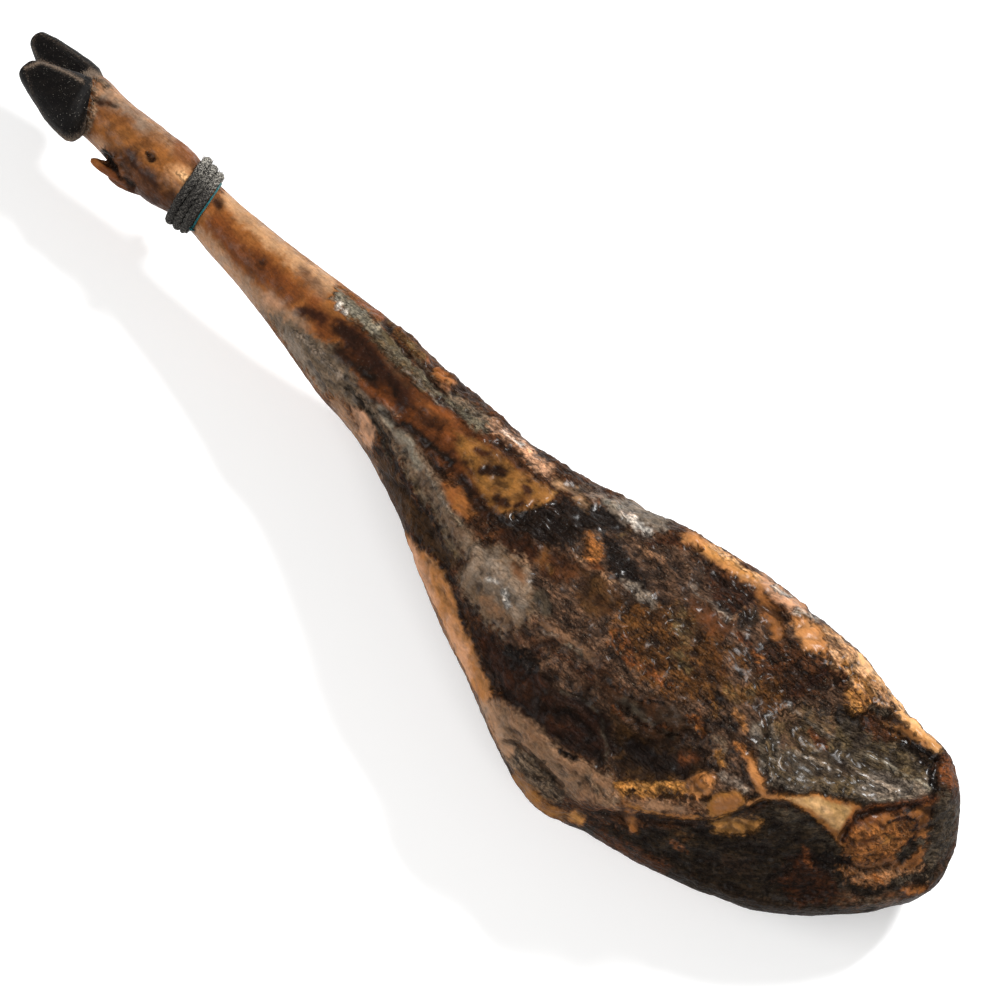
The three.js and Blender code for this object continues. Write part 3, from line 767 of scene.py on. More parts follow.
        ("soot", "slate", "crust", 4, 4, [(872, 708), (888, 714)]),
        ("umber", "plum", "ribbedWet", 7, 5, [(868, 724), (886, 736)]),
        # the pale ash and mould strokes along the ribs, the lower edge and the left border are painted
        # highlights on the wet surface; the dark band among them is not
        ("ash", "slate", "ribbedWet", 1.3, 2, [(788, 706), (812, 725), (841, 739)]),
        ("ash", "olive", "ribbedWet", 1.2, 2, [(795, 751), (819, 762), (840, 772)]),
        ("ash", "slate", "ribbedWet", None, 4,
         [(870, 768), (900, 778), (930, 788), (930, 800), (870, 804), (852, 794)]),
        ("slate", "tar", "ribbedWet", 5, 3, [(772, 781), (800, 788), (830, 796), (862, 802)]),
        ("ash", "slate", "ribbedWet", 1.5, 2, [(770, 776), (786, 786), (806, 792)]),
        ("mould", "slate", "ribbedWet", 1.8, 2, [(869, 756), (893, 770), (917, 780), (929, 790)]),
        ("ash", "slate", "ribbedWet", 1.3, 2, [(848, 764), (872, 780), (896, 792)]),
        ("mould", "ash", "ribbedWet", 2, 2, [(880, 800), (904, 799), (926, 795)]),
        ("slate", "ash", "ribbedWet", 2, 2, [(768, 716), (774, 740), (778, 768)]),
        ("tar", "soot", "ribbedWet", 3, 3, [(904, 742), (924, 750), (936, 758)]),
        ("tar", "soot", "ribbedWet", 4, 3, [(918, 758), (930, 768), (933, 788)]),
        ("ash", "tar", "ribbedWet", 0.8, 1, [(908, 754), (918, 766), (928, 782)]),
    ],
    "wall of the butt": [
        ("char", "tar", "rind", None, 6,
         [(560, 826), (640, 828), (700, 826), (760, 812), (800, 808), (940, 800), (960, 810), (930, 880),
          (870, 920), (780, 915), (660, 880), (590, 850)]),
        ("soot", "char", "rind", 12, 10, [(620, 850), (670, 876), (730, 900), (800, 912)]),
        ("bark", "tar", "rind", None, 9, [(776, 880), (800, 850), (826, 866), (844, 896), (800, 908)]),
        ("bark", "umber", "rind", 8, 8, [(600, 838), (630, 856), (660, 868)]),
        ("murk", "soot", "rind", 7, 7, [(724, 860), (744, 866)]),
        ("char", "tar", "rind", 5, 5, [(650, 830), (690, 842), (730, 848), (790, 846)]),
        ("char", "slate", "rind", 7, 5, [(776, 812), (800, 822), (822, 838), (836, 850)]),
        ("gold", "amber", "fat", 6, 4, [(573, 817), (578, 818)]),
        ("amber", "umber", "fat", 4, 3, [(627, 812), (631, 820), (634, 830)]),
        ("gold", "ochre", "fat", None, 5,
         [(711, 822), (724, 814), (738, 818), (750, 818), (761, 823), (752, 832), (732, 837),
          (716, 832)]),
        ("rust", "rose", "rind", None, 3, [(668, 841), (680, 843), (691, 850), (678, 848)]),
        ("rust", "umber", "rind", 3, 4, [(804, 850), (814, 862)]),
        ("umber", "olive", "rind", 3, 4, [(680, 834), (688, 838)]),
    ],
    "lip over the butt": [
        ("rose", "umber", "crust", None, 4,
         [(616, 796), (650, 796), (690, 798), (708, 800), (706, 816), (676, 818), (640, 812),
          (618, 806)]),
        ("fawn", "rose", "skin", 4, 4, [(650, 804), (680, 810)]),
        ("ochre", "amber", "fat", 2, 3, [(624, 804), (648, 812), (672, 817), (700, 818)]),
        ("ochre", "soot", "crust", None, 4,
         [(612, 780), (640, 778), (676, 780), (692, 790), (676, 796), (640, 796), (618, 796)]),
        ("gold", "ochre", "crust", 2.5, 3, [(624, 786), (640, 788), (660, 782), (676, 788)]),
        ("tar", "soot", "crust", 2.5, 2, [(629, 788), (635, 790)]),
        ("amber", "orangeFat", "fat", None, 4,
         [(690, 780), (702, 768), (716, 776), (714, 792), (700, 800), (690, 794)]),
        ("orangeFat", "amber", "wet", 3, 3, [(704, 778), (708, 784)]),
        ("ochre", "amber", "fat", None, 3,
         [(706, 802), (720, 792), (738, 790), (746, 798), (742, 808), (726, 816), (708, 817)]),
        ("amber", "rose", "fat", 4, 4, [(716, 808), (728, 803), (736, 800)]),
        ("orangeFat", "amber", "fat", 4, 3, [(750, 768), (758, 784), (766, 794)]),
        ("orangeFat", "amber", "fat", 3, 2, [(748, 803), (762, 798), (778, 796)]),
        ("ash", "umber", "wet", 4, 4, [(722, 776), (736, 784), (744, 790)]),
    ],
    "bone and the round end beside it": [
        ("amber", "ochre", "fat", None, 2,
         [(776, 794), (820, 793), (862, 806), (858, 820), (848, 832), (846, 850), (836, 842), (822, 824),
          (800, 809)]),
        ("bone", "cream", "bone", None, 2,
         [(784, 797), (818, 797), (852, 809), (846, 820), (838, 832), (826, 820), (804, 806)]),
        ("ivory", "bone", "bone", 4, 5, [(806, 801), (826, 811)]),
        ("cream", "ivory", "bone", 2, 3, [(812, 803), (830, 813)]),
        ("amber", "umber", "skin", None, 4,
         [(850, 824), (866, 810), (900, 806), (930, 800), (936, 830), (926, 862), (900, 880), (860, 880),
          (842, 862)]),
        ("slate", "char", "rind", None, 5,
         [(934, 796), (950, 790), (958, 812), (950, 846), (934, 872), (924, 866), (929, 842),
          (931, 820)]),
        ("chestnut", "rust", "skin", 5, 4,
         [(844, 838), (850, 824), (862, 815), (880, 809), (900, 806), (930, 799)]),
        ("amber", "umber", "crust", None, 3,
         [(848, 834), (857, 827), (881, 822), (908, 819), (918, 824), (913, 837), (900, 852), (877, 863),
          (858, 862), (848, 851)]),
        ("ochre", "amber", "skin", 3, 4, [(892, 838), (884, 844)]),
        ("umber", "rust", "skin", 3, 3, [(864, 842), (872, 840)]),
        ("umber", "rust", "skin", 3, 3, [(870, 818), (882, 826)]),
        ("plum", "umber", "crust", 2.2, 2.5,
         [(844, 840), (850, 824), (862, 815), (880, 809), (900, 806), (930, 799)]),
        ("soot", "plum", "wet", 2, 2, [(892, 814), (904, 812), (914, 808)]),
        ("tar", "plum", "crust", 1.8, 2, [(888, 822), (906, 817), (916, 822), (914, 838), (902, 850)]),
        ("soot", "umber", "wet", 1.5, 1.5, [(864, 857), (868, 859)]),
        ("slate", "soot", "rind", 5, 3, [(902, 856), (914, 848), (920, 842)]),
        ("amber", "rose", "crust", None, 5,
         [(832, 864), (864, 868), (926, 866), (926, 880), (880, 888), (846, 880)]),
        ("rust", "amber", "crust", 3, 3, [(876, 876), (884, 884)]),
        ("slate", "soot", "crust", 5, 3, [(896, 882), (910, 877), (926, 876)]),
        ("tar", "soot", "crust", 4, 3, [(824, 856), (838, 862), (850, 862)]),
        ("amber", "rust", "skin", 3.5, 3, [(904, 892), (922, 889)]),
        ("umber", "slate", "rind", 7, 5, [(842, 900), (870, 902), (896, 898)]),
        ("umber", "rust", "rind", 8, 5, [(944, 764), (954, 780)]),
    ],
}

# lasting hollows and ridges: height in millimetres, half width, places in the picture
reliefs = {
    "groove inside the left rim": (
        -0.9, 4,
        [(408, 526), (430, 560), (448, 576), (458, 604), (470, 640), (484, 668), (496, 690)],
    ),
    "left rim of fat": (
        1.2, 12,
        [(414, 540), (430, 584), (446, 624), (462, 668), (484, 712), (508, 762), (548, 808)],
    ),
    "waxy ridge of the shank": (
        1.4, 13,
        [(330, 352), (352, 384), (390, 420), (428, 452), (450, 500), (470, 534)],
    ),
    "groove beside that ridge": (
        -1.3, 4,
        [(346, 378), (370, 396), (392, 424), (416, 438), (438, 470), (450, 482)],
    ),
    "first wrinkle of the waxy side": (-1.2, 3, [(342, 384), (370, 410), (390, 450), (398, 470)]),
    "second wrinkle of the waxy side": (-1.2, 3, [(358, 458), (380, 474), (406, 490), (420, 510)]),
    "brown swelling of the upper side": (
        0.7, None,
        [(380, 352), (420, 393), (470, 420), (525, 470), (552, 500), (506, 516), (470, 482),
         (440, 450), (404, 418)],
    ),
    "step below that swelling": (-0.9, 4, [(556, 504), (506, 524), (470, 490), (440, 458)]),
    "split along the far side": (-1.6, 3, [(384, 322), (410, 356), (424, 370), (438, 386)]),
    "edge of the split": (1.6, 5, [(398, 330), (424, 358)]),
    "nub beside the split": (2.2, 5, [(438, 374), (450, 382)]),
    "first nick of the shank": (-1.4, 3, [(308, 364), (324, 390)]),
    "second nick of the shank": (-1.4, 3, [(330, 380), (362, 406)]),
    "fine crack above the waxy fat": (-0.9, 2, [(462, 574), (470, 550), (478, 543), (496, 538)]),
    "dip of the waxy fat": (
        -0.8, None,
        [(478, 512), (530, 512), (580, 522), (592, 552), (562, 574), (508, 570), (474, 544)],
    ),
    "upper fold of the middle": (1.4, 8, [(540, 620), (580, 642), (610, 668), (620, 690)]),
    "fold across the left hollow": (
        1.8, 4,
        [(552, 700), (580, 712), (600, 732), (606, 760), (612, 776)],
    ),
    "ridge along the left edge": (1.4, 8, [(494, 698), (520, 722), (550, 750), (590, 768), (620, 784)]),
    "slit in the left edge": (-1.8, 3, [(504, 740), (524, 750), (540, 766), (560, 786)]),
    "short slit in the left edge": (-1.4, 3, [(560, 754), (576, 758)]),
    "left hollow": (
        -1.0, None,
        [(454, 596), (500, 644), (532, 652), (560, 676), (600, 686), (612, 720), (602, 768),
         (560, 760), (520, 712), (492, 682)],
    ),
    "upper fat of the right rim": (
        1.5, 11,
        [(684, 537), (702, 545), (740, 573), (762, 586), (782, 602), (797, 612)],
    ),
    "groove inside the right rim": (-1.0, 3, [(700, 566), (740, 592), (764, 606), (786, 622)]),
    "knuckle of the right rim": (1.8, 11, [(794, 622), (818, 652), (838, 664)]),
    "lower fat of the right rim": (
        1.4, 10,
        [(822, 624), (855, 652), (875, 672), (895, 697), (912, 727), (936, 752)],
    ),
    "lump of the right rim": (2.2, 13, [(852, 696), (856, 706)]),
    "notch at the end of the rim": (-2.6, 4, [(900, 732), (922, 748), (942, 762)]),
    "notch at the start of the rim": (-2.2, 4, [(692, 548), (707, 561)]),
    "fold inside the right rim": (0.8, 3, [(732, 622), (755, 602)]),
    "first rib of the dark patch": (1.0, 2.5, [(500, 512), (520, 528), (536, 548)]),
    "second rib of the dark patch": (1.0, 2.5, [(524, 506), (544, 524), (560, 540)]),
    "third rib of the dark patch": (1.0, 2.5, [(548, 508), (566, 522), (580, 530)]),
    "first furrow of the dark patch": (-0.9, 2.5, [(512, 510), (532, 528), (548, 546)]),
    "second furrow of the dark patch": (-0.9, 2.5, [(536, 508), (556, 526), (572, 538)]),
    "first rib of the scooped hollow": (0.8, 3, [(788, 706), (812, 725), (841, 739)]),
    "second rib of the scooped hollow": (1.0, 3, [(795, 751), (819, 762), (846, 774)]),
    "third rib of the scooped hollow": (1.4, 3, [(869, 756), (893, 770), (917, 780), (930, 790)]),
    "fourth rib of the scooped hollow": (1.0, 2.5, [(850, 766), (872, 780), (896, 792)]),
    "furrow of the scooped hollow": (-1.0, 2.5, [(860, 760), (884, 776), (908, 788)]),
    "wall of the scooped hollow": (-1.2, 3, [(764, 716), (772, 742), (776, 772)]),
    "dip above the lip": (-1.2, None, [(606, 734), (700, 730), (706, 772), (684, 780), (616, 780)]),
    "knob of fat": (2.0, 9, [(705, 778)]),
    "fold of fat beside the hollow": (1.6, 6, [(748, 764), (760, 784), (776, 796)]),
    "lip over the butt": (1.6, 8, [(600, 802), (632, 803), (680, 814), (720, 815), (744, 803)]),
    "shadow under the lip": (
        -1.6, 3,
        [(600, 812), (640, 817), (690, 822), (730, 818), (748, 808), (768, 803)],
    ),
    "end of the lip": (2.2, 7, [(714, 808), (726, 802), (738, 798)]),
    "tag under the lip": (1.2, 5, [(630, 814), (634, 828)]),
    "corner of the scooped hollow": (-2.0, 5, [(904, 748), (938, 762), (930, 792)]),
    "bone": (1.0, None, [(784, 797), (822, 796), (856, 811), (840, 830), (824, 820), (792, 804)]),
    "seam round the bone": (-1.6, 4, [(840, 838), (858, 814), (916, 806), (930, 812)]),
    "round end beside the bone": (
        1.0, None,
        [(846, 840), (860, 820), (884, 814), (904, 824), (908, 842), (892, 860), (866, 866),
         (850, 856)],
    ),
    "fold below the round end": (-1.4, 4, [(842, 862), (870, 872), (896, 866), (914, 846)]),
    "pit in the foot": (-2.2, 5, [(150, 157)]),
    "bulge before the tie": (1.2, 11, [(176, 172), (186, 186)]),
    "gap beside the dewclaw": (-2.4, 4, [(104, 158), (118, 174), (132, 186)]),
    "root of the dewclaw": (2.0, 4, [(118, 160)]),
    "fold at the dewclaw": (1.6, 4, [(121, 173)]),
    "crease behind the claws": (-1.2, 3, [(94, 100), (116, 106)]),
    "dark spot of the shank": (-0.9, 5, [(218, 204)]),
    "second dark spot of the shank": (-0.9, 5, [(262, 262)]),
}

# torn, rough places, by half width (None for an outlined area) and places in the picture
crags = {
    "between the hollows": (None, [(694, 704), (762, 704), (772, 780), (702, 788), (688, 744)]),
    "middle of the cut side": (
        None,
        [(604, 590), (690, 584), (700, 640), (692, 700), (640, 692), (606, 654)],
    ),
    "above the lip": (8, [(622, 792), (660, 794), (690, 792)]),
    "nub of the split": (12, [(444, 392), (470, 406), (492, 424)]),
    "start of the split": (9, [(392, 330), (424, 362), (452, 384)]),
    "inside the right rim": (None, [(750, 646), (826, 650), (830, 690), (776, 700), (756, 680)]),
    "lower right rim": (10, [(840, 664), (862, 700), (880, 730)]),
    "upper right rim": (9, [(700, 560), (740, 600), (770, 640)]),
}


def roughHam():
    piece = copyOfSolid("ham_leg", "hamSurface")
    applied(piece, "rounding", "SUBSURF", levels=2, render_levels=2)
    applied(piece, "evenFaces", "REMESH", mode="VOXEL", voxel_size=ham["voxel"])
    applied(piece, "softening", "SMOOTH", factor=0.5, iterations=ham["smoothing"])
    makeActive(piece)
    bpy.ops.object.shade_smooth()
    return piece


def lookAt(piece):
    # a piece's points, their picture places and wandering, and how far each faces the camera
    points = pointsOf(piece)
    across, down = inPicture(points)
    sight = np.array(cameraPlace) - points
    sight /= np.linalg.norm(sight, axis=1)[:, None]
    facing = np.einsum("ij,ij->i", normalsOf(piece), sight)
    seen = smoothStep(*ham["facing"], facing)
    coarse, coarseShare = ham["waverCoarse"]
    fine, fineShare = ham["waverFine"]
    drift = grain(points, coarse, 3.1) * coarseShare + grain(points, fine, 8.7) * fineShare
    sway = grain(points, coarse, 31.4) * coarseShare + grain(points, fine, 40.2) * fineShare
    return points, across, down, seen, drift * ham["waver"], sway * ham["waver"]


def addClouds(piece, name, size, depth, height, group=None):
    # pushes a piece's points in and out by soft noise
    clouds = bpy.data.textures.new(name, "CLOUDS")
    clouds.noise_scale = size
    clouds.noise_depth = depth
    values = {"vertex_group": group} if group else {}
    applied(piece, name, "DISPLACE", texture=clouds, texture_coords="LOCAL", mid_level=0.5,
            strength=height * 2, **values)


def carve(piece):
    points, across, down, seen, drift, sway = lookAt(piece)
    outlineEdge, strokeEdge = ham["reliefEdge"]
    waver = ham["reliefWaver"]
    height = np.zeros(len(points))
    for rise, wide, places in reliefs.values():
        soft = outlineEdge if wide is None else wide * strokeEdge
        cover = coverage(across + drift * waver, down + sway * waver, wide, places, soft)
        height += rise * mm * cover * seen
    torn = np.zeros(len(points))
    for wide, places in crags.values():
        cover = coverage(across + drift, down + sway, wide, places, ham["cragEdge"])
        torn = np.maximum(torn, cover * seen)
    onBody = smoothStep(*ham["body"], points[:, 0])
    rest = smoothStep(0.0, ham["restHeight"], points[:, 2])
    most = ham["mostRelief"]
    weigh(piece, "raised", height * rest / most)
    weigh(piece, "sunken", -height * rest / most)
    weigh(piece, "torn", torn)
    flank = smoothStep(*ham["flank"], normalsOf(piece)[:, 2])
    calm = ham["flankLumps"] + (1 - ham["flankLumps"]) * flank
    weigh(piece, "body", (ham["shankLumps"] + (1 - ham["shankLumps"]) * onBody) * rest * calm)
    addClouds(piece, "hamLumps", ham["lumpSize"], 2, ham["lumpHeight"], "body")
    addClouds(piece, "hamDents", ham["dentSize"], 3, ham["dentHeight"], "body")
    addClouds(piece, "hamRipples", ham["rippleSize"], 2, ham["rippleHeight"], "body")
    addClouds(piece, "hamShreds", ham["cragSize"], 4, ham["cragHeight"], "torn")
    applied(piece, "raising", "DISPLACE", vertex_group="raised", mid_level=0, strength=most)
    applied(piece, "sinking", "DISPLACE", vertex_group="sunken", mid_level=0, strength=-most)


def settle(piece):
    # nothing below the floor or past the solid's own box by more than the headroom
    points = pointsOf(piece)
    low = np.array(solidLow)
    high = np.array(solidHigh)
    points = np.clip(points, low, high + ham["headroom"])
    piece.data.vertices.foreach_set("co", points.astype(np.float32).ravel())
    piece.data.update()


def hollowness(piece):
    # how far each point lies under its smoothed surroundings, in millimetres
    points = pointsOf(piece)
    normals = normalsOf(piece)
    flat = np.empty(len(piece.data.edges) * 2, np.int32)
    piece.data.edges.foreach_get("vertices", flat)
    first, second = flat.reshape(-1, 2).T
    count = np.bincount(first, minlength=len(points)) + np.bincount(second, minlength=len(points))
    smooth = points.copy()
    for _ in range(ham["hollowRounds"]):
        total = np.zeros_like(smooth)
        for axis in range(3):
            total[:, axis] = np.bincount(first, smooth[second, axis], len(points))
            total[:, axis] += np.bincount(second, smooth[first, axis], len(points))
        smooth = total / np.maximum(count, 1)[:, None]
    return np.einsum("ij,ij->i", smooth - points, normals) / mm


def paint(piece):
    points, across, down, seen, drift, sway = lookAt(piece)
    count = len(points)
    palette = {name: np.array(linear(colour)) for name, colour in tones.items()}
    along = points[:, 0]
    blotch = grain(points, ham["blotchSize"], 17.0) + 0.5 * grain(points, ham["patchSize"], 23.0)
    body = smoothStep(*ham["body"], along + ham["bodyWander"] * blotch)[:, None]
    tone = palette["amber"] * (1 - body) + palette["umber"] * body
    mottle = palette["umber"] * (1 - body) + palette["soot"] * body
    butt = smoothStep(*ham["butt"], along + ham["buttWander"] * blotch)[:, None]
    tone = tone * (1 - butt) + palette["char"] * butt
    mottle = mottle * (1 - butt) + palette["bark"] * butt
    upward = normalsOf(piece)[:, 2] + ham["underWander"] * blotch
    under = smoothStep(*ham["under"], upward)[:, None] * body * (1 - butt)
    tone = tone * (1 - under) + palette["rind"] * under
    mottle = mottle * (1 - under) + palette["bark"] * under
    crumbs = grain(points, ham["crumbSize"], 61.0) + 0.6 * grain(points, ham["bitSize"], 70.0)
    looks = ("gloss", "wrinkle", "grit", "mottling")
    levels = {kind: np.array([values[look] for look in looks]) for kind, values in finishes.items()}
    finish = np.tile(levels["crust"], (count, 1))
    grainTurn = np.where(along > ham["buttFrom"], math.radians(finishes["rind"]["turn"]), 0.0)
    for main, second, kind, wide, edge, places in itertools.chain(*coats.values()):
        ragged = finishes[kind]["ragged"]
        stir = min(1.0, ham["waverLeast"] + edge / ham["waverSoftness"])
        soft = edge * (1 - ham["raggedLoss"] * ragged) + ham["softLeast"]
        chips = crumbs * ragged * (edge + 1) * ham["chipDepth"]
        cover = coverage(across + drift * stir, down + sway * stir, wide, places, soft, chips) * seen
        grainTurn[cover > 0.5] = math.radians(finishes[kind]["turn"])
        cover = cover[:, None]
        tone = tone * (1 - cover) + palette[main] * cover
        mottle = mottle * (1 - cover) + palette[second] * cover
        finish = finish * (1 - cover) + levels[kind] * cover
    keepAttribute(piece, "hamTone", tone)
    keepAttribute(piece, "hamMottle", mottle)
    for column, look in enumerate(looks):
        keepAttribute(piece, "ham" + look.capitalize(), finish[:, column])
    keepAttribute(piece, "hamTurn", grainTurn)
    keepAttribute(piece, "hamHollow", np.clip(hollowness(piece) * ham["hollowGain"] + 0.5, 0, 1))


# the finish of the cured surface: sizes of its patterns, where each begins and ends, and how much
cured = {
    "blotches": {"size": 13 * mm, "from": 0.36, "to": 0.72, "amount": 0.75},  # soft clouds on skin
    # crisp flecks on torn meat; a small draw makes a pattern long
    "flecks": {"size": 5 * mm, "draw": 0.45, "from": 0.50, "to": 0.57, "amount": 0.65},
    "drift": {"size": 30 * mm, "dark": 0.6, "swing": 0.9},
    # hollows and folds: painted shade; ridges and crests: painted highlight
    "hollows": {"from": 0.58, "to": 1.0, "amount": 0.6, "tone": (18, 11, 8)},
    "ridges": {"from": 0.15, "to": 0.45, "amount": 0.6, "gain": (1.55, 1.45, 1.35, 1.0)},
    "puckers": {"size": 2.6 * mm, "draw": 0.3},
    "folds": {"from": 0.34, "to": 0.50, "amount": 0.62, "least": 0.06, "tone": (20, 13, 9)},
    "crests": {"from": 0.53, "to": 0.68, "amount": 0.7, "gain": (1.9, 1.8, 1.7, 1.0)},
    "cracks": {"size": 7 * mm, "wander": 9 * mm, "width": 0.07, "patches": 16 * mm, "amount": 0.6},
    "crackTone": (22, 14, 10),
    "grains": {"size": 1.5 * mm, "draw": 0.7, "from": 0.36, "to": 0.64, "swing": 0.8, "dark": -0.36},
    "specks": {"size": 1.1 * mm, "patches": 8 * mm, "amount": 0.8, "tone": (168, 158, 140)},
    "oil": {"size": 5 * mm, "from": 0.30, "to": 0.62, "coat": 0.26},
    "roughness": {"dull": 0.66, "oily": -0.44, "specked": 0.3},
    "coatRoughness": 0.22,
    "specular": 0.04,
}

# its height, from broad swells to pores: size, and depth as a share of the whole
curedHeight = {
    "swells": {"size": 3.4 * mm, "depth": 2.4, "least": 0.3},
    "creases": {"size": 3.6 * mm, "depth": -0.3},
    "folds": {"size": 2.0 * mm, "draw": 0.25, "depth": 1.2},
    "pores": {"size": 1.5 * mm, "depth": 0.9, "least": 0.15},
    "cracks": {"depth": -0.45},
    "crimps": {"size": 1.8 * mm, "draw": 0.5, "depth": 0.65, "from": 0.6, "to": 0.95},  # where wet
    "whole": 1.3 * mm,
}


def turnedPlace(tree, place):
    # wrinkles run along the leg, and across it in the hollow and round the butt
    turned = addNode(tree, "ShaderNodeVectorRotate", rotation_type="Z_AXIS")
    tree.links.new(place, turned.inputs["Vector"])
    backwards = multiply(tree, attribute(tree, "hamTurn"), -1.0)
    tree.links.new(backwards, turned.inputs["Angle"])
    return turned.outputs["Vector"]


def fineCracks(tree, place, lengthwise, wrinkle):
    # lines between cells, in patches
    cracks = cured["cracks"]
    wander = addNode(tree, "ShaderNodeTexNoise")
    tree.links.new(place, wander.inputs["Vector"])
    wander.inputs["Scale"].default_value = 1 / cracks["wander"]
    push = addNode(tree, "ShaderNodeVectorMath", operation="SCALE")
    tree.links.new(wander.outputs["Color"], push.inputs[0])
    push.inputs["Scale"].default_value = cracks["wander"]
    warped = addNode(tree, "ShaderNodeVectorMath", operation="ADD")
    tree.links.new(lengthwise, warped.inputs[0])
    tree.links.new(push.outputs[0], warped.inputs[1])
    cells = addNode(tree, "ShaderNodeTexVoronoi", feature="DISTANCE_TO_EDGE")
    tree.links.new(warped.outputs[0], cells.inputs["Vector"])
    cells.inputs["Scale"].default_value = 1 / cracks["size"]
    crack = opposite(tree, ramp(tree, cells.outputs["Distance"], 0.0, cracks["width"]))
    crack = multiply(tree, crack, speckles(tree, place, cracks["patches"], 3, 0.55, 0.45, 0.6))
    return multiply(tree, crack, wrinkle)


def twoTones(tree, place, turned, mottling):
    # the second colour shows as soft clouds on skin and as crisp flecks on torn meat
    tone = attribute(tree, "hamTone", "Color")
    mottle = attribute(tree, "hamMottle", "Color")
    blotches = cured["blotches"]
    clouds = cloud(tree, place, blotches["size"], 8, 0.62, 0.4)
    soft = multiply(tree, ramp(tree, clouds, blotches["from"], blotches["to"]), blotches["amount"])
    flecks = cured["flecks"]
    streaked = stretched(tree, turned, (flecks["draw"], 1, 1))
    chips = cloud(tree, streaked, flecks["size"], 8, 0.68, 0.3)
    crisp = ramp(tree, chips, flecks["from"], flecks["to"])
    crisp = multiply(tree, crisp, multiply(tree, mottling, flecks["amount"]))
    colour = mixColours(tree, soft, tone, mottle)
    return mixColours(tree, crisp, colour, mottle)


def shaded(tree, place, colour):
    # broad random drift of lighter and darker tone, then painted shade darkens the hollows and a painted
    # highlight makes the ridges pale
    drift = cured["drift"]
    hollows = cured["hollows"]
    ridges = cured["ridges"]
    hollow = attribute(tree, "hamHollow")
    lift = calculate(
        tree, "MULTIPLY_ADD", cloud(tree, place, drift["size"], 3), drift["swing"], drift["dark"]
    )
    colour = mixColours(tree, 1.0, colour, lift, "MULTIPLY")
    # painted shade: the hollows darken towards a near-black brown
    hollowShade = multiply(tree, ramp(tree, hollow, hollows["from"], hollows["to"]), hollows["amount"])
    colour = mixColours(tree, hollowShade, colour, opaque(hollows["tone"]))
    # painted highlight: the ridges are made paler
    wearAndHighlight = opposite(tree, ramp(tree, hollow, ridges["from"], ridges["to"]))
    pale = mixColours(tree, 1.0, colour, ridges["gain"], "MULTIPLY")
    return mixColours(tree, multiply(tree, wearAndHighlight, ridges["amount"]), colour, pale)


def shadedWrinkles(tree, lengthwise, mottling, colour):
    # painted shade darkens the folds of the wrinkles, and a painted highlight pales their crests
    folds = cured["folds"]
    crests = cured["crests"]
    pucker = cloud(tree, lengthwise, cured["puckers"]["size"], 6, 0.62, 0.4)
    # painted shade in the folds
    fold = opposite(tree, ramp(tree, pucker, folds["from"], folds["to"]))
    depth = calculate(tree, "MULTIPLY_ADD", mottling, folds["amount"], folds["least"])
    colour = mixColours(tree, multiply(tree, fold, depth), colour, opaque(folds["tone"]))
    # painted highlight on the crests
    crestHighlight = ramp(tree, pucker, crests["from"], crests["to"])
    crestHighlight = multiply(tree, crestHighlight, multiply(tree, mottling, crests["amount"]))
    highlighted = mixColours(tree, 1.0, colour, crests["gain"], "MULTIPLY")
    return mixColours(tree, crestHighlight, colour, highlighted)


def grainy(tree, turned, wrinkle, colour):
    # grainy to the eye, the rougher the more
    grains = cured["grains"]
    drawn = stretched(tree, turned, (grains["draw"], 1, 1))
    crumbs = cloud(tree, drawn, grains["size"], 1, 0.5)
    crumbs = ramp(tree, crumbs, grains["from"], grains["to"])
    swing = calculate(tree, "MULTIPLY_ADD", crumbs, grains["swing"], grains["dark"])
    gain = calculate(tree, "MULTIPLY_ADD", swing, wrinkle, 1.0)
    return mixColours(tree, 1.0, colour, gain, "MULTIPLY")


def hamRelief(tree, place, turned, lengthwise, crack, gloss, wrinkle, mottling):
    # height of the surface
    parts = curedHeight
    swells = cloud(tree, lengthwise, parts["swells"]["size"], 2, 0.45, 0.5)
    creases = addNode(tree, "ShaderNodeTexNoise", noise_type="RIDGED_MULTIFRACTAL")
    tree.links.new(lengthwise, creases.inputs["Vector"])
    creases.inputs["Scale"].default_value = 1 / parts["creases"]["size"]
    creases.inputs["Detail"].default_value = 2
    creases.inputs["Roughness"].default_value = 0.5
    creases.inputs["Distortion"].default_value = 0.5
    foldPlace = stretched(tree, turned, (parts["folds"]["draw"], 1, 1))
    folds = cloud(tree, foldPlace, parts["folds"]["size"], 2, 0.45, 0.6)
    pores = cloud(tree, place, parts["pores"]["size"], 1, 0.5)
    crimpPlace = stretched(tree, turned, (parts["crimps"]["draw"], 1, 1))
    crimps = cloud(tree, crimpPlace, parts["crimps"]["size"], 1, 0.5, 0.4)
    wet = ramp(tree, gloss, parts["crimps"]["from"], parts["crimps"]["to"])
    swelling = calculate(
        tree, "MULTIPLY_ADD", wrinkle, parts["swells"]["depth"], parts["swells"]["least"]
    )
    pitted = calculate(tree, "MULTIPLY_ADD", wrinkle, parts["pores"]["depth"], parts["pores"]["least"])
    height = multiply(tree, swells, swelling)
    for part, depth in (
        (multiply(tree, creases.outputs["Fac"], mottling), parts["creases"]["depth"]),
        (multiply(tree, folds, wrinkle), parts["folds"]["depth"]),
        (pores, pitted),
        (crack, parts["cracks"]["depth"]),
        (multiply(tree, crimps, wet), parts["crimps"]["depth"]),
    ):
        height = calculate(tree, "MULTIPLY_ADD", part, depth, height)
    return height


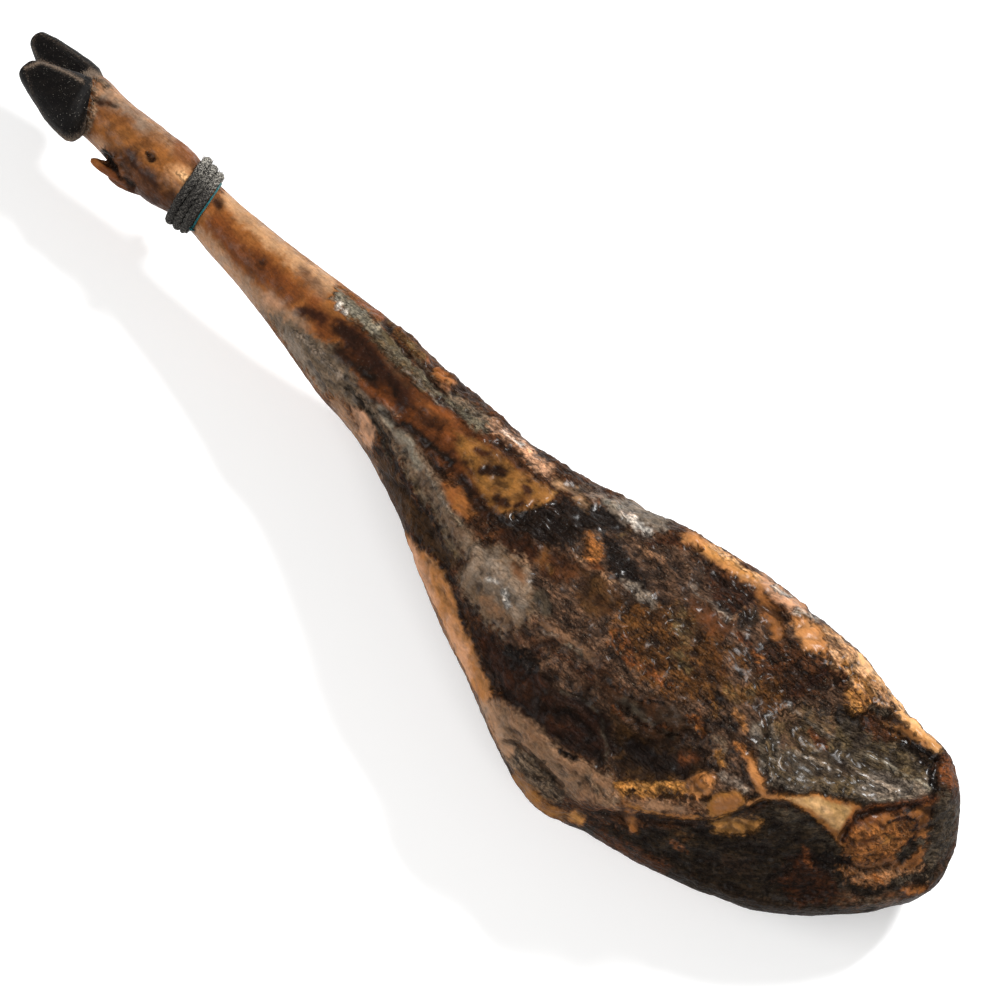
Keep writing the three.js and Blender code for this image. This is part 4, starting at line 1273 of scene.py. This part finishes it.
def hamMaterial():
    material, tree, shader = newMaterial("curedSurface")
    place = objectPlace(tree)
    turned = turnedPlace(tree, place)
    lengthwise = stretched(tree, turned, (cured["puckers"]["draw"], 1, 1))
    gloss = attribute(tree, "hamGloss")
    wrinkle = attribute(tree, "hamWrinkle")
    mottling = attribute(tree, "hamMottling")

    colour = twoTones(tree, place, turned, mottling)
    colour = shaded(tree, place, colour)
    colour = shadedWrinkles(tree, lengthwise, mottling, colour)
    crack = fineCracks(tree, place, lengthwise, wrinkle)
    crackShare = multiply(tree, crack, cured["cracks"]["amount"])
    colour = mixColours(tree, crackShare, colour, opaque(cured["crackTone"]))
    colour = grainy(tree, turned, wrinkle, colour)

    # specks of mould and dried salt
    salt = cured["specks"]
    dots = speckles(tree, place, salt["size"], 3, 0.7, 0.60, 0.68)
    patches = speckles(tree, place, salt["patches"], 5, 0.7, 0.42, 0.58)
    specks = multiply(tree, multiply(tree, dots, patches), attribute(tree, "hamGrit"))
    colour = mixColours(tree, multiply(tree, specks, salt["amount"]), colour, opaque(salt["tone"]))
    tree.links.new(colour, shader.inputs["Base Color"])

    # oily where it glosses, dull where it is dusty
    oil = cured["oil"]
    levels = cured["roughness"]
    sheen = cloud(tree, place, oil["size"], 5, 0.6)
    oily = multiply(tree, gloss, ramp(tree, sheen, oil["from"], oil["to"]))
    rough = calculate(tree, "MULTIPLY_ADD", oily, levels["oily"], levels["dull"])
    rough = calculate(tree, "ADD", rough, multiply(tree, specks, levels["specked"]))
    tree.links.new(rough, shader.inputs["Roughness"])
    tree.links.new(multiply(tree, oily, oil["coat"]), shader.inputs["Coat Weight"])
    shader.inputs["Coat Roughness"].default_value = cured["coatRoughness"]
    shader.inputs["Specular IOR Level"].default_value = cured["specular"]

    height = hamRelief(tree, place, turned, lengthwise, crack, gloss, wrinkle, mottling)
    bumped(tree, shader, height, 1.0, curedHeight["whole"])
    return material


def thinUnderside(piece):
    # fewer faces on the sides and underneath, where nothing fine is seen
    weigh(piece, "underside", smoothStep(*ham["thinned"], normalsOf(piece)[:, 2]))
    applied(piece, "thinning", "DECIMATE", ratio=ham["facesKept"], vertex_group="underside",
            vertex_group_factor=1.0)


def makeHam():
    piece = roughHam()
    carve(piece)
    thinUnderside(piece)
    settle(piece)
    paint(piece)
    piece.data.materials.append(hamMaterial())
    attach(piece, "root")
    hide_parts("ham_leg")
    print("ham surface made,", sum(len(p.vertices) - 2 for p in piece.data.polygons), "triangles")
    return piece


hamSurface = makeHam()


# Round strands, and the surface that they lie on
def skinFinder(piece):
    return BVHTree.FromPolygons(
        [v.co for v in piece.data.vertices], [p.vertices for p in piece.data.polygons]
    )


def strand(name, lines, radius, sides=3):
    # round strands along these lines, as one mesh
    curve = bpy.data.curves.new(name, "CURVE")
    curve.dimensions = "3D"
    curve.bevel_depth = radius
    curve.bevel_resolution = sides
    curve.use_fill_caps = True
    for line in lines:
        spline = curve.splines.new("POLY")
        spline.points.add(len(line) - 1)
        spline.points.foreach_set("co", [c for place in line for c in (*place, 1.0)])
        spline.use_smooth = True
    piece = bpy.data.objects.new(name, curve)
    bpy.context.scene.collection.objects.link(piece)
    makeActive(piece)
    bpy.ops.object.convert(target="MESH")
    return bpy.context.view_layer.objects.active


# The claws
claws = {
    "pieces": {"claw_upper": "clawUpperHorn", "claw_lower": "clawLowerHorn"},
    "dustWaver": 0.2,
    "under": (0.2, -0.6),  # upward share of the normal where the lower edges are worn
    "underWear": 0.5,
    "detail": 3,
    "rounding": 10,
    "ringHeight": 0.3 * mm,  # growth rings and flaws of the horn
    "ringSize": 5 * mm,
    "hairs": 700,
    "hairReach": 4 * mm,  # how far from a claw they grow
    "hairLength": (2.0 * mm, 4.5 * mm),
    "hairRadius": 0.11 * mm,
    "hairRegion": 70 * mm,  # from the tip of the foot
    "hairRoot": 0.3 * mm,
    "hairLean": (-0.9, 0, 0),  # towards the tip of the foot
    "hairSpread": 0.5,
    "hairToneSize": 2 * mm,
    "hairTones": ((60, 46, 36), (150, 132, 112)),
}

# where the horn is worn and dusty: amount, half width, softness, places in the picture
clawDust = {
    "tip of the upper claw": (0.7, 1, 4, [(36, 33), (33, 46), (38, 58)]),
    "cleft side of the upper claw": (0.6, 1, 4, [(40, 34), (56, 41), (78, 56), (98, 72)]),
    "cleft behind": (1.0, 4, 5, [(90, 72), (98, 76), (106, 82)]),
    "cleft side of the lower claw": (1.2, 1.5, 5, [(26, 68), (41, 61), (50, 65), (64, 71), (82, 81)]),
    "coronet": (1.0, 1, 5, [(92, 84), (94, 94), (91, 107), (87, 120), (81, 139)]),
    "heel of the lower claw": (0.9, 4, 7, [(54, 134), (66, 141), (80, 138)]),
    "lower edge": (0.6, 1, 5, [(26, 72), (33, 96), (44, 118), (54, 132)]),
}

horn = {
    "dark": (6, 5, 5),
    "pale": (11, 9, 8),
    "wornTone": (112, 96, 82),
    "filmTone": (92, 82, 72),
    "speckTone": (190, 184, 172),
    "streakSize": 1.6 * mm,
    "streakDraw": 0.25,
    "crumbSize": 0.8 * mm,
    "wear": 0.40,  # how much of the dust counts against the crumbs
    "wearAndHighlight": (0.60, 0.96),
    "filmSize": 9 * mm,
    "film": 0.05,
    "speckSize": 0.7 * mm,
    "specks": 0.7,
    "relief": 0.6 * mm,
    "roughness": 0.56,
    "wornRoughness": 0.3,
    "specular": 0.08,
}


def hornMaterial():
    material, tree, shader = newMaterial("darkHorn")
    place = objectPlace(tree)
    dusty = attribute(tree, "hornDust")
    along = stretched(tree, place, (horn["streakDraw"], 1, 1))
    streaks = cloud(tree, along, horn["streakSize"], 4, 0.6)
    colour = mixColours(tree, streaks, opaque(horn["dark"]), opaque(horn["pale"]))
    crumbs = cloud(tree, place, horn["crumbSize"], 4, 0.7)
    edge = ramp(tree, calculate(tree, "MULTIPLY_ADD", dusty, horn["wear"], crumbs), *horn["wearAndHighlight"])
    colour = mixColours(tree, edge, colour, opaque(horn["wornTone"]))
    film = speckles(tree, place, horn["filmSize"], 5, 0.7, 0.45, 0.75)
    film = multiply(tree, film, horn["film"])
    colour = mixColours(tree, film, colour, opaque(horn["filmTone"]))
    specks = speckles(tree, place, horn["speckSize"], 2, 0.5, 0.70, 0.75)
    specks = multiply(tree, specks, horn["specks"])
    colour = mixColours(tree, specks, colour, opaque(horn["speckTone"]))
    tree.links.new(colour, shader.inputs["Base Color"])
    rough = calculate(tree, "MULTIPLY_ADD", edge, horn["wornRoughness"], horn["roughness"])
    tree.links.new(rough, shader.inputs["Roughness"])
    shader.inputs["Specular IOR Level"].default_value = horn["specular"]
    height = calculate(tree, "ADD", streaks, multiply(tree, crumbs, dusty))
    bumped(tree, shader, height, 0.8, horn["relief"])
    return material


def dustClaw(piece):
    points, across, down, seen, drift, sway = lookAt(piece)
    waver = claws["dustWaver"]
    dust = np.zeros(len(points))
    for amount, wide, soft, places in clawDust.values():
        cover = coverage(across + drift * waver, down + sway * waver, wide, places, soft)
        dust = np.maximum(dust, cover * amount)
    # the sides that aren't shown are worn along their lower edges
    hidden = (1 - seen) * smoothStep(*claws["under"], normalsOf(piece)[:, 2]) * claws["underWear"]
    keepAttribute(piece, "hornDust", np.maximum(dust * seen, hidden))


def makeClaws():
    material = hornMaterial()
    pieces = []
    for nodeName, pieceName in claws["pieces"].items():
        piece = copyOfSolid(nodeName, pieceName)
        applied(piece, "finer", "SUBSURF", subdivision_type="SIMPLE", levels=claws["detail"],
                render_levels=claws["detail"])
        applied(piece, "rounding", "SMOOTH", factor=0.5, iterations=claws["rounding"])
        addClouds(piece, pieceName + "Rings", claws["ringSize"], 3, claws["ringHeight"])
        dustClaw(piece)
        makeActive(piece)
        bpy.ops.object.shade_smooth()
        piece.data.materials.append(material)
        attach(piece, "root")
        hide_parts(nodeName)
        pieces.append(piece)
    print("claws made,", sum(len(piece.data.polygons) for piece in pieces), "faces")
    return pieces


def hairMaterial():
    material, tree, shader = newMaterial("dustyHair")
    place = objectPlace(tree)
    dark, pale = claws["hairTones"]
    shades = cloud(tree, place, claws["hairToneSize"], 3)
    colour = mixColours(tree, shades, opaque(dark), opaque(pale))
    tree.links.new(colour, shader.inputs["Base Color"])
    shader.inputs["Roughness"].default_value = 0.8
    return material


def makeHairs(skin, clawPieces):
    # short dusty hairs where the skin meets the claws, all the way round
    rng = np.random.default_rng(21)
    spread = claws["hairSpread"]
    points = pointsOf(skin)
    normals = normalsOf(skin)
    surfaces = [skinFinder(claw) for claw in clawPieces]
    near = []
    for index in np.flatnonzero(points[:, 0] < min(points[:, 0]) + claws["hairRegion"]):
        spot = Vector(points[index])
        gap = min(surface.find_nearest(spot)[3] for surface in surfaces)
        if gap < claws["hairReach"]:
            near.append(index)
    lines = []
    for index in rng.choice(near, claws["hairs"]):
        outward = Vector(normals[index])
        root = Vector(points[index]) - outward * claws["hairRoot"]
        lean = Vector(claws["hairLean"]) + Vector(rng.uniform(-spread, spread, 3))
        length = rng.uniform(*claws["hairLength"])
        middle = root + (outward * 0.6 + lean * 0.5) * length * 0.6
        lines.append([root, middle, middle + (outward * 0.2 + lean) * length * 0.5])
    piece = strand("coronetHairs", lines, claws["hairRadius"], 0)
    piece.data.materials.clear()
    piece.data.materials.append(hairMaterial())
    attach(piece, "root")
    print("hairs made,", len(piece.data.polygons), "faces")


# The tie round the shank
tie = {
    "start": -226.7 * mm,  # along the leg, on its own middle line
    "middle": (33.43 * mm, 51.0 * mm),  # the shank's middle, across and up
    "slant": -0.27,  # slip along the leg for each step across
    "lean": 0.42,  # and for each step up
    "turnStart": -0.3,
    "turns": 2.8,
    "pitch": 6.2 * mm,
    "plies": 4,
    "plyRadius": 1.45 * mm,
    "twistRadius": 1.6 * mm,
    "twistPitch": 17 * mm,
    "steps": 420,
    "threadTurns": 0.95,
    "threadShift": 3.75 * mm,
    "threadPly": 0.42 * mm,
    "threadPitch": 3.4 * mm,
    "threadPlies": 3,
    "threadTwist": 0.9,  # how far its plies turn about its line, in ply radii
    "threadLift": 2.2,  # and how high that line lies on the skin
    "threadSteps": 180,
    "skinGap": 0.1 * mm,
    "knotLift": 0.9 * mm,
    "fibres": 420,
    "fibreRadius": 0.09 * mm,
    "fibreLength": (0.8 * mm, 2.4 * mm),
    "fibreSpread": 1.9,  # radians to each side of straight out
    "fibreSway": 0.6,
    "fuzzSize": 0.9 * mm,
    "fuzzHeight": 0.35 * mm,
    "bridging": 6,  # rounds of smoothing along the strand
    "knotAt": (190, 230),  # in the picture
    "knotSize": 1.15 * mm,
    "knotLoops": 1.6,
    "knotShape": (0.55, 0.6),  # width and height in knot sizes
}


def woundPath(skin, turns, fromTurn, shift, height, steps):
    # places and outward directions of a strand wound round the shank, on its skin
    across, up = tie["middle"]
    places = []
    for step in range(steps + 1):
        turn = fromTurn + turns * step / steps
        angle = 2 * math.pi * (turn + tie["turnStart"])
        outward = Vector((0, math.cos(angle), math.sin(angle)))
        level = tie["start"] + shift + tie["pitch"] * turn
        near = skin.ray_cast(Vector((level, across, up)), outward)[0]
        along = level + tie["slant"] * (near.y - across) + tie["lean"] * (near.z - up)
        base, normal = skin.ray_cast(Vector((along, across, up)), outward)[:2]
        places.append((base, Vector((0, normal.y, normal.z)).normalized()))
    # the strand bridges the small dents of the skin
    spots = [base + outward * height for base, outward in places]
    outwards = [outward for base, outward in places]
    for _ in range(tie["bridging"]):
        spots = [spots[0]] + [
            spots[i].lerp((spots[i - 1] + spots[i + 1]) / 2, 0.5) for i in range(1, len(spots) - 1)
        ] + [spots[-1]]
        outwards = [outwards[0]] + [
            (outwards[i - 1] + outwards[i] + outwards[i + 1]).normalized()
            for i in range(1, len(outwards) - 1)
        ] + [outwards[-1]]
    return list(zip(spots, outwards))


def twistedPly(path, radius, pitch, phase):
    # one ply's own line, turning round the strand's line
    line = []
    travelled = 0.0
    for index, (spot, outward) in enumerate(path):
        before = path[max(index - 1, 0)][0]
        after = path[min(index + 1, len(path) - 1)][0]
        travelled += (spot - before).length
        forward = (after - before).normalized()
        side = forward.cross(outward).normalized()
        turn = 2 * math.pi * travelled / pitch + phase
        line.append(spot + (outward * math.cos(turn) + side * math.sin(turn)) * radius)
    return line


fibre = {
    "cord": ((9, 8, 8), (34, 31, 29), 0.9),  # dark, pale and how dusty
    "thread": ((8, 44, 48), (24, 104, 110), 0.35),
    "strandSize": 0.9 * mm,
    "pale": (0.35, 0.65),
    "dustSize": 0.8 * mm,
    "dustEverywhere": 0.14,
    "dustOnSide": 0.72,
    "dustTone": (196, 190, 178),
    "dustySide": (28 * mm, 52 * mm),  # from here to here across the leg the dust grows
    "relief": 0.4 * mm,
}


def fibreMaterial(name, dark, pale, dusty):
    material, tree, shader = newMaterial(name)
    place = objectPlace(tree)
    strands = cloud(tree, place, fibre["strandSize"], 5, 0.7, 0.4)
    colour = mixColours(tree, ramp(tree, strands, *fibre["pale"]), opaque(dark), opaque(pale))
    # the side turned up and away is dusted
    parts = addNode(tree, "ShaderNodeSeparateXYZ")
    tree.links.new(place, parts.inputs[0])
    side = ramp(tree, parts.outputs["Y"], *fibre["dustySide"])
    dots = speckles(tree, place, fibre["dustSize"], 3, 0.7, 0.50, 0.58)
    share = calculate(tree, "MULTIPLY_ADD", side, fibre["dustOnSide"], fibre["dustEverywhere"])
    dust = multiply(tree, multiply(tree, dots, share), dusty)
    colour = mixColours(tree, dust, colour, opaque(fibre["dustTone"]))
    tree.links.new(colour, shader.inputs["Base Color"])
    shader.inputs["Roughness"].default_value = 0.85
    shader.inputs["Specular IOR Level"].default_value = 0.2
    bumped(tree, shader, strands, 0.8, fibre["relief"])
    return material


def looseFibres(path, count, reach, rng):
    # short hairs that stand off the strand
    hairs = []
    spread = tie["fibreSpread"]
    sway = tie["fibreSway"]
    for _ in range(count):
        index = int(rng.integers(4, len(path) - 4))
        spot, outward = path[index]
        forward = (path[index + 2][0] - path[index - 2][0]).normalized()
        side = forward.cross(outward).normalized()
        angle = rng.uniform(-spread, spread)
        away = outward * math.cos(angle) + side * math.sin(angle)
        drift = forward * rng.uniform(-1, 1) + side * rng.uniform(-sway, sway)
        root = spot + away * reach
        length = rng.uniform(*tie["fibreLength"])
        middle = root + (away * 0.7 + drift) * length * 0.5
        hairs.append([root, middle, root + (away * 0.5 + drift * 1.4) * length])
    return hairs


def knotLine(centre, outward, size, steps=64):
    # a small overhand knot, as a trefoil
    side = outward.cross(Vector((1, 0, 0))).normalized()
    other = outward.cross(side).normalized()
    loops = tie["knotLoops"]
    wide, high = tie["knotShape"]
    line = []
    for step in range(steps + 1):
        turn = 2 * math.pi * step / steps
        x = math.sin(turn) + loops * math.sin(2 * turn)
        y = math.cos(turn) - loops * math.cos(2 * turn)
        z = -math.sin(3 * turn)
        line.append(centre + (side * x + other * y) * size * wide + outward * z * size * high)
    return line


def makeTie(skin):
    rng = np.random.default_rng(7)
    reach = tie["plyRadius"] + tie["twistRadius"]
    path = woundPath(skin, tie["turns"], 0, 0, reach + tie["skinGap"], tie["steps"])
    lines = [
        twistedPly(path, tie["twistRadius"], tie["twistPitch"], 2 * math.pi * ply / tie["plies"])
        for ply in range(tie["plies"])
    ]
    cord = strand("tieCord", lines, tie["plyRadius"], 4)
    addClouds(cord, "cordFuzz", tie["fuzzSize"], 2, tie["fuzzHeight"])
    hairs = strand("cordHairs", looseFibres(path, tie["fibres"], reach, rng), tie["fibreRadius"], 0)
    bpy.ops.object.select_all(action="DESELECT")
    hairs.select_set(True)
    cord.select_set(True)
    bpy.context.view_layer.objects.active = cord
    bpy.ops.object.join()
    makeActive(cord)
    bpy.ops.object.shade_smooth()
    cord.data.materials.clear()
    cord.data.materials.append(fibreMaterial("greyCord", *fibre["cord"]))
    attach(cord, "root")
    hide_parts("tie_cord")

    threadFrom = tie["turns"] - 1
    twist = tie["threadPly"] * tie["threadTwist"]
    lift = tie["threadPly"] * tie["threadLift"]
    threadPath = woundPath(
        skin, tie["threadTurns"], threadFrom, tie["threadShift"], lift, tie["threadSteps"]
    )
    lines = [
        twistedPly(threadPath, twist, tie["threadPitch"], 2 * math.pi * ply / tie["threadPlies"])
        for ply in range(tie["threadPlies"])
    ]
    across, down = inPicture(np.array([spot for spot, outward in threadPath]))
    gap = np.hypot(across - tie["knotAt"][0], down - tie["knotAt"][1])
    spot, outward = threadPath[int(np.argmin(gap))]
    lines.append(knotLine(spot + outward * tie["knotLift"], outward, tie["knotSize"]))
    thread = strand("tieThread", lines, tie["threadPly"], 3)
    makeActive(thread)
    bpy.ops.object.shade_smooth()
    thread.data.materials.clear()
    thread.data.materials.append(fibreMaterial("tealThread", *fibre["thread"]))
    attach(thread, "root")
    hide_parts("tie_thread")
    print("tie made,", len(cord.data.polygons), "faces in the cord")


makeHairs(hamSurface, makeClaws())
makeTie(skinFinder(hamSurface))

# Floor and light
studio = {
    "floorSize": 8.0,
    "floorTone": (0.93, 0.93, 0.93, 1.0),
    "floorGlow": 0.22,
    "worldTone": (1.0, 0.985, 0.96, 1.0),
    "worldStrength": 0.21,
    # right, up and towards the camera as seen in the picture, size and power
    "lights": {
        "keyLight": ((1.45, 1.55, 0.95), 0.5, 86.0),
        "fillLight": ((-1.6, 0.3, 1.3), 1.2, 24.0),
        "frontLight": ((0.3, -0.6, 1.9), 0.9, 14.0),
    },
}


def makeFloor():
    bpy.ops.object.select_all(action="DESELECT")
    bpy.ops.mesh.primitive_plane_add(size=studio["floorSize"], location=(0, 0, 0))
    floor = bpy.context.active_object
    floor.name = "paleFloor"
    material, _, shader = newMaterial("paleFloor")
    shader.inputs["Base Color"].default_value = studio["floorTone"]
    shader.inputs["Emission Color"].default_value = studio["floorTone"]
    shader.inputs["Emission Strength"].default_value = studio["floorGlow"]
    shader.inputs["Roughness"].default_value = 0.6
    shader.inputs["Specular IOR Level"].default_value = 0.2
    floor.data.materials.append(material)


def makeLights():
    world = bpy.data.worlds.new("studioWorld")
    world.use_nodes = True
    background = world.node_tree.nodes["Background"]
    background.inputs["Color"].default_value = studio["worldTone"]
    background.inputs["Strength"].default_value = studio["worldStrength"]
    bpy.context.scene.world = world
    for name, (offset, size, power) in studio["lights"].items():
        lamp = bpy.data.lights.new(name, "AREA")
        lamp.shape = "SQUARE"
        lamp.size = size
        lamp.energy = power
        holder = bpy.data.objects.new(name, lamp)
        bpy.context.scene.collection.objects.link(holder)
        right, up, near = offset
        place = pictureRight * right + pictureUp * up + towardsCamera * near
        holder.location = Vector(picture["target"]) + place
        holder.rotation_euler = place.to_track_quat("Z", "Y").to_euler()


makeFloor()
makeLights()
bpy.context.scene.view_settings.view_transform = "Standard"
print("floor and light made")
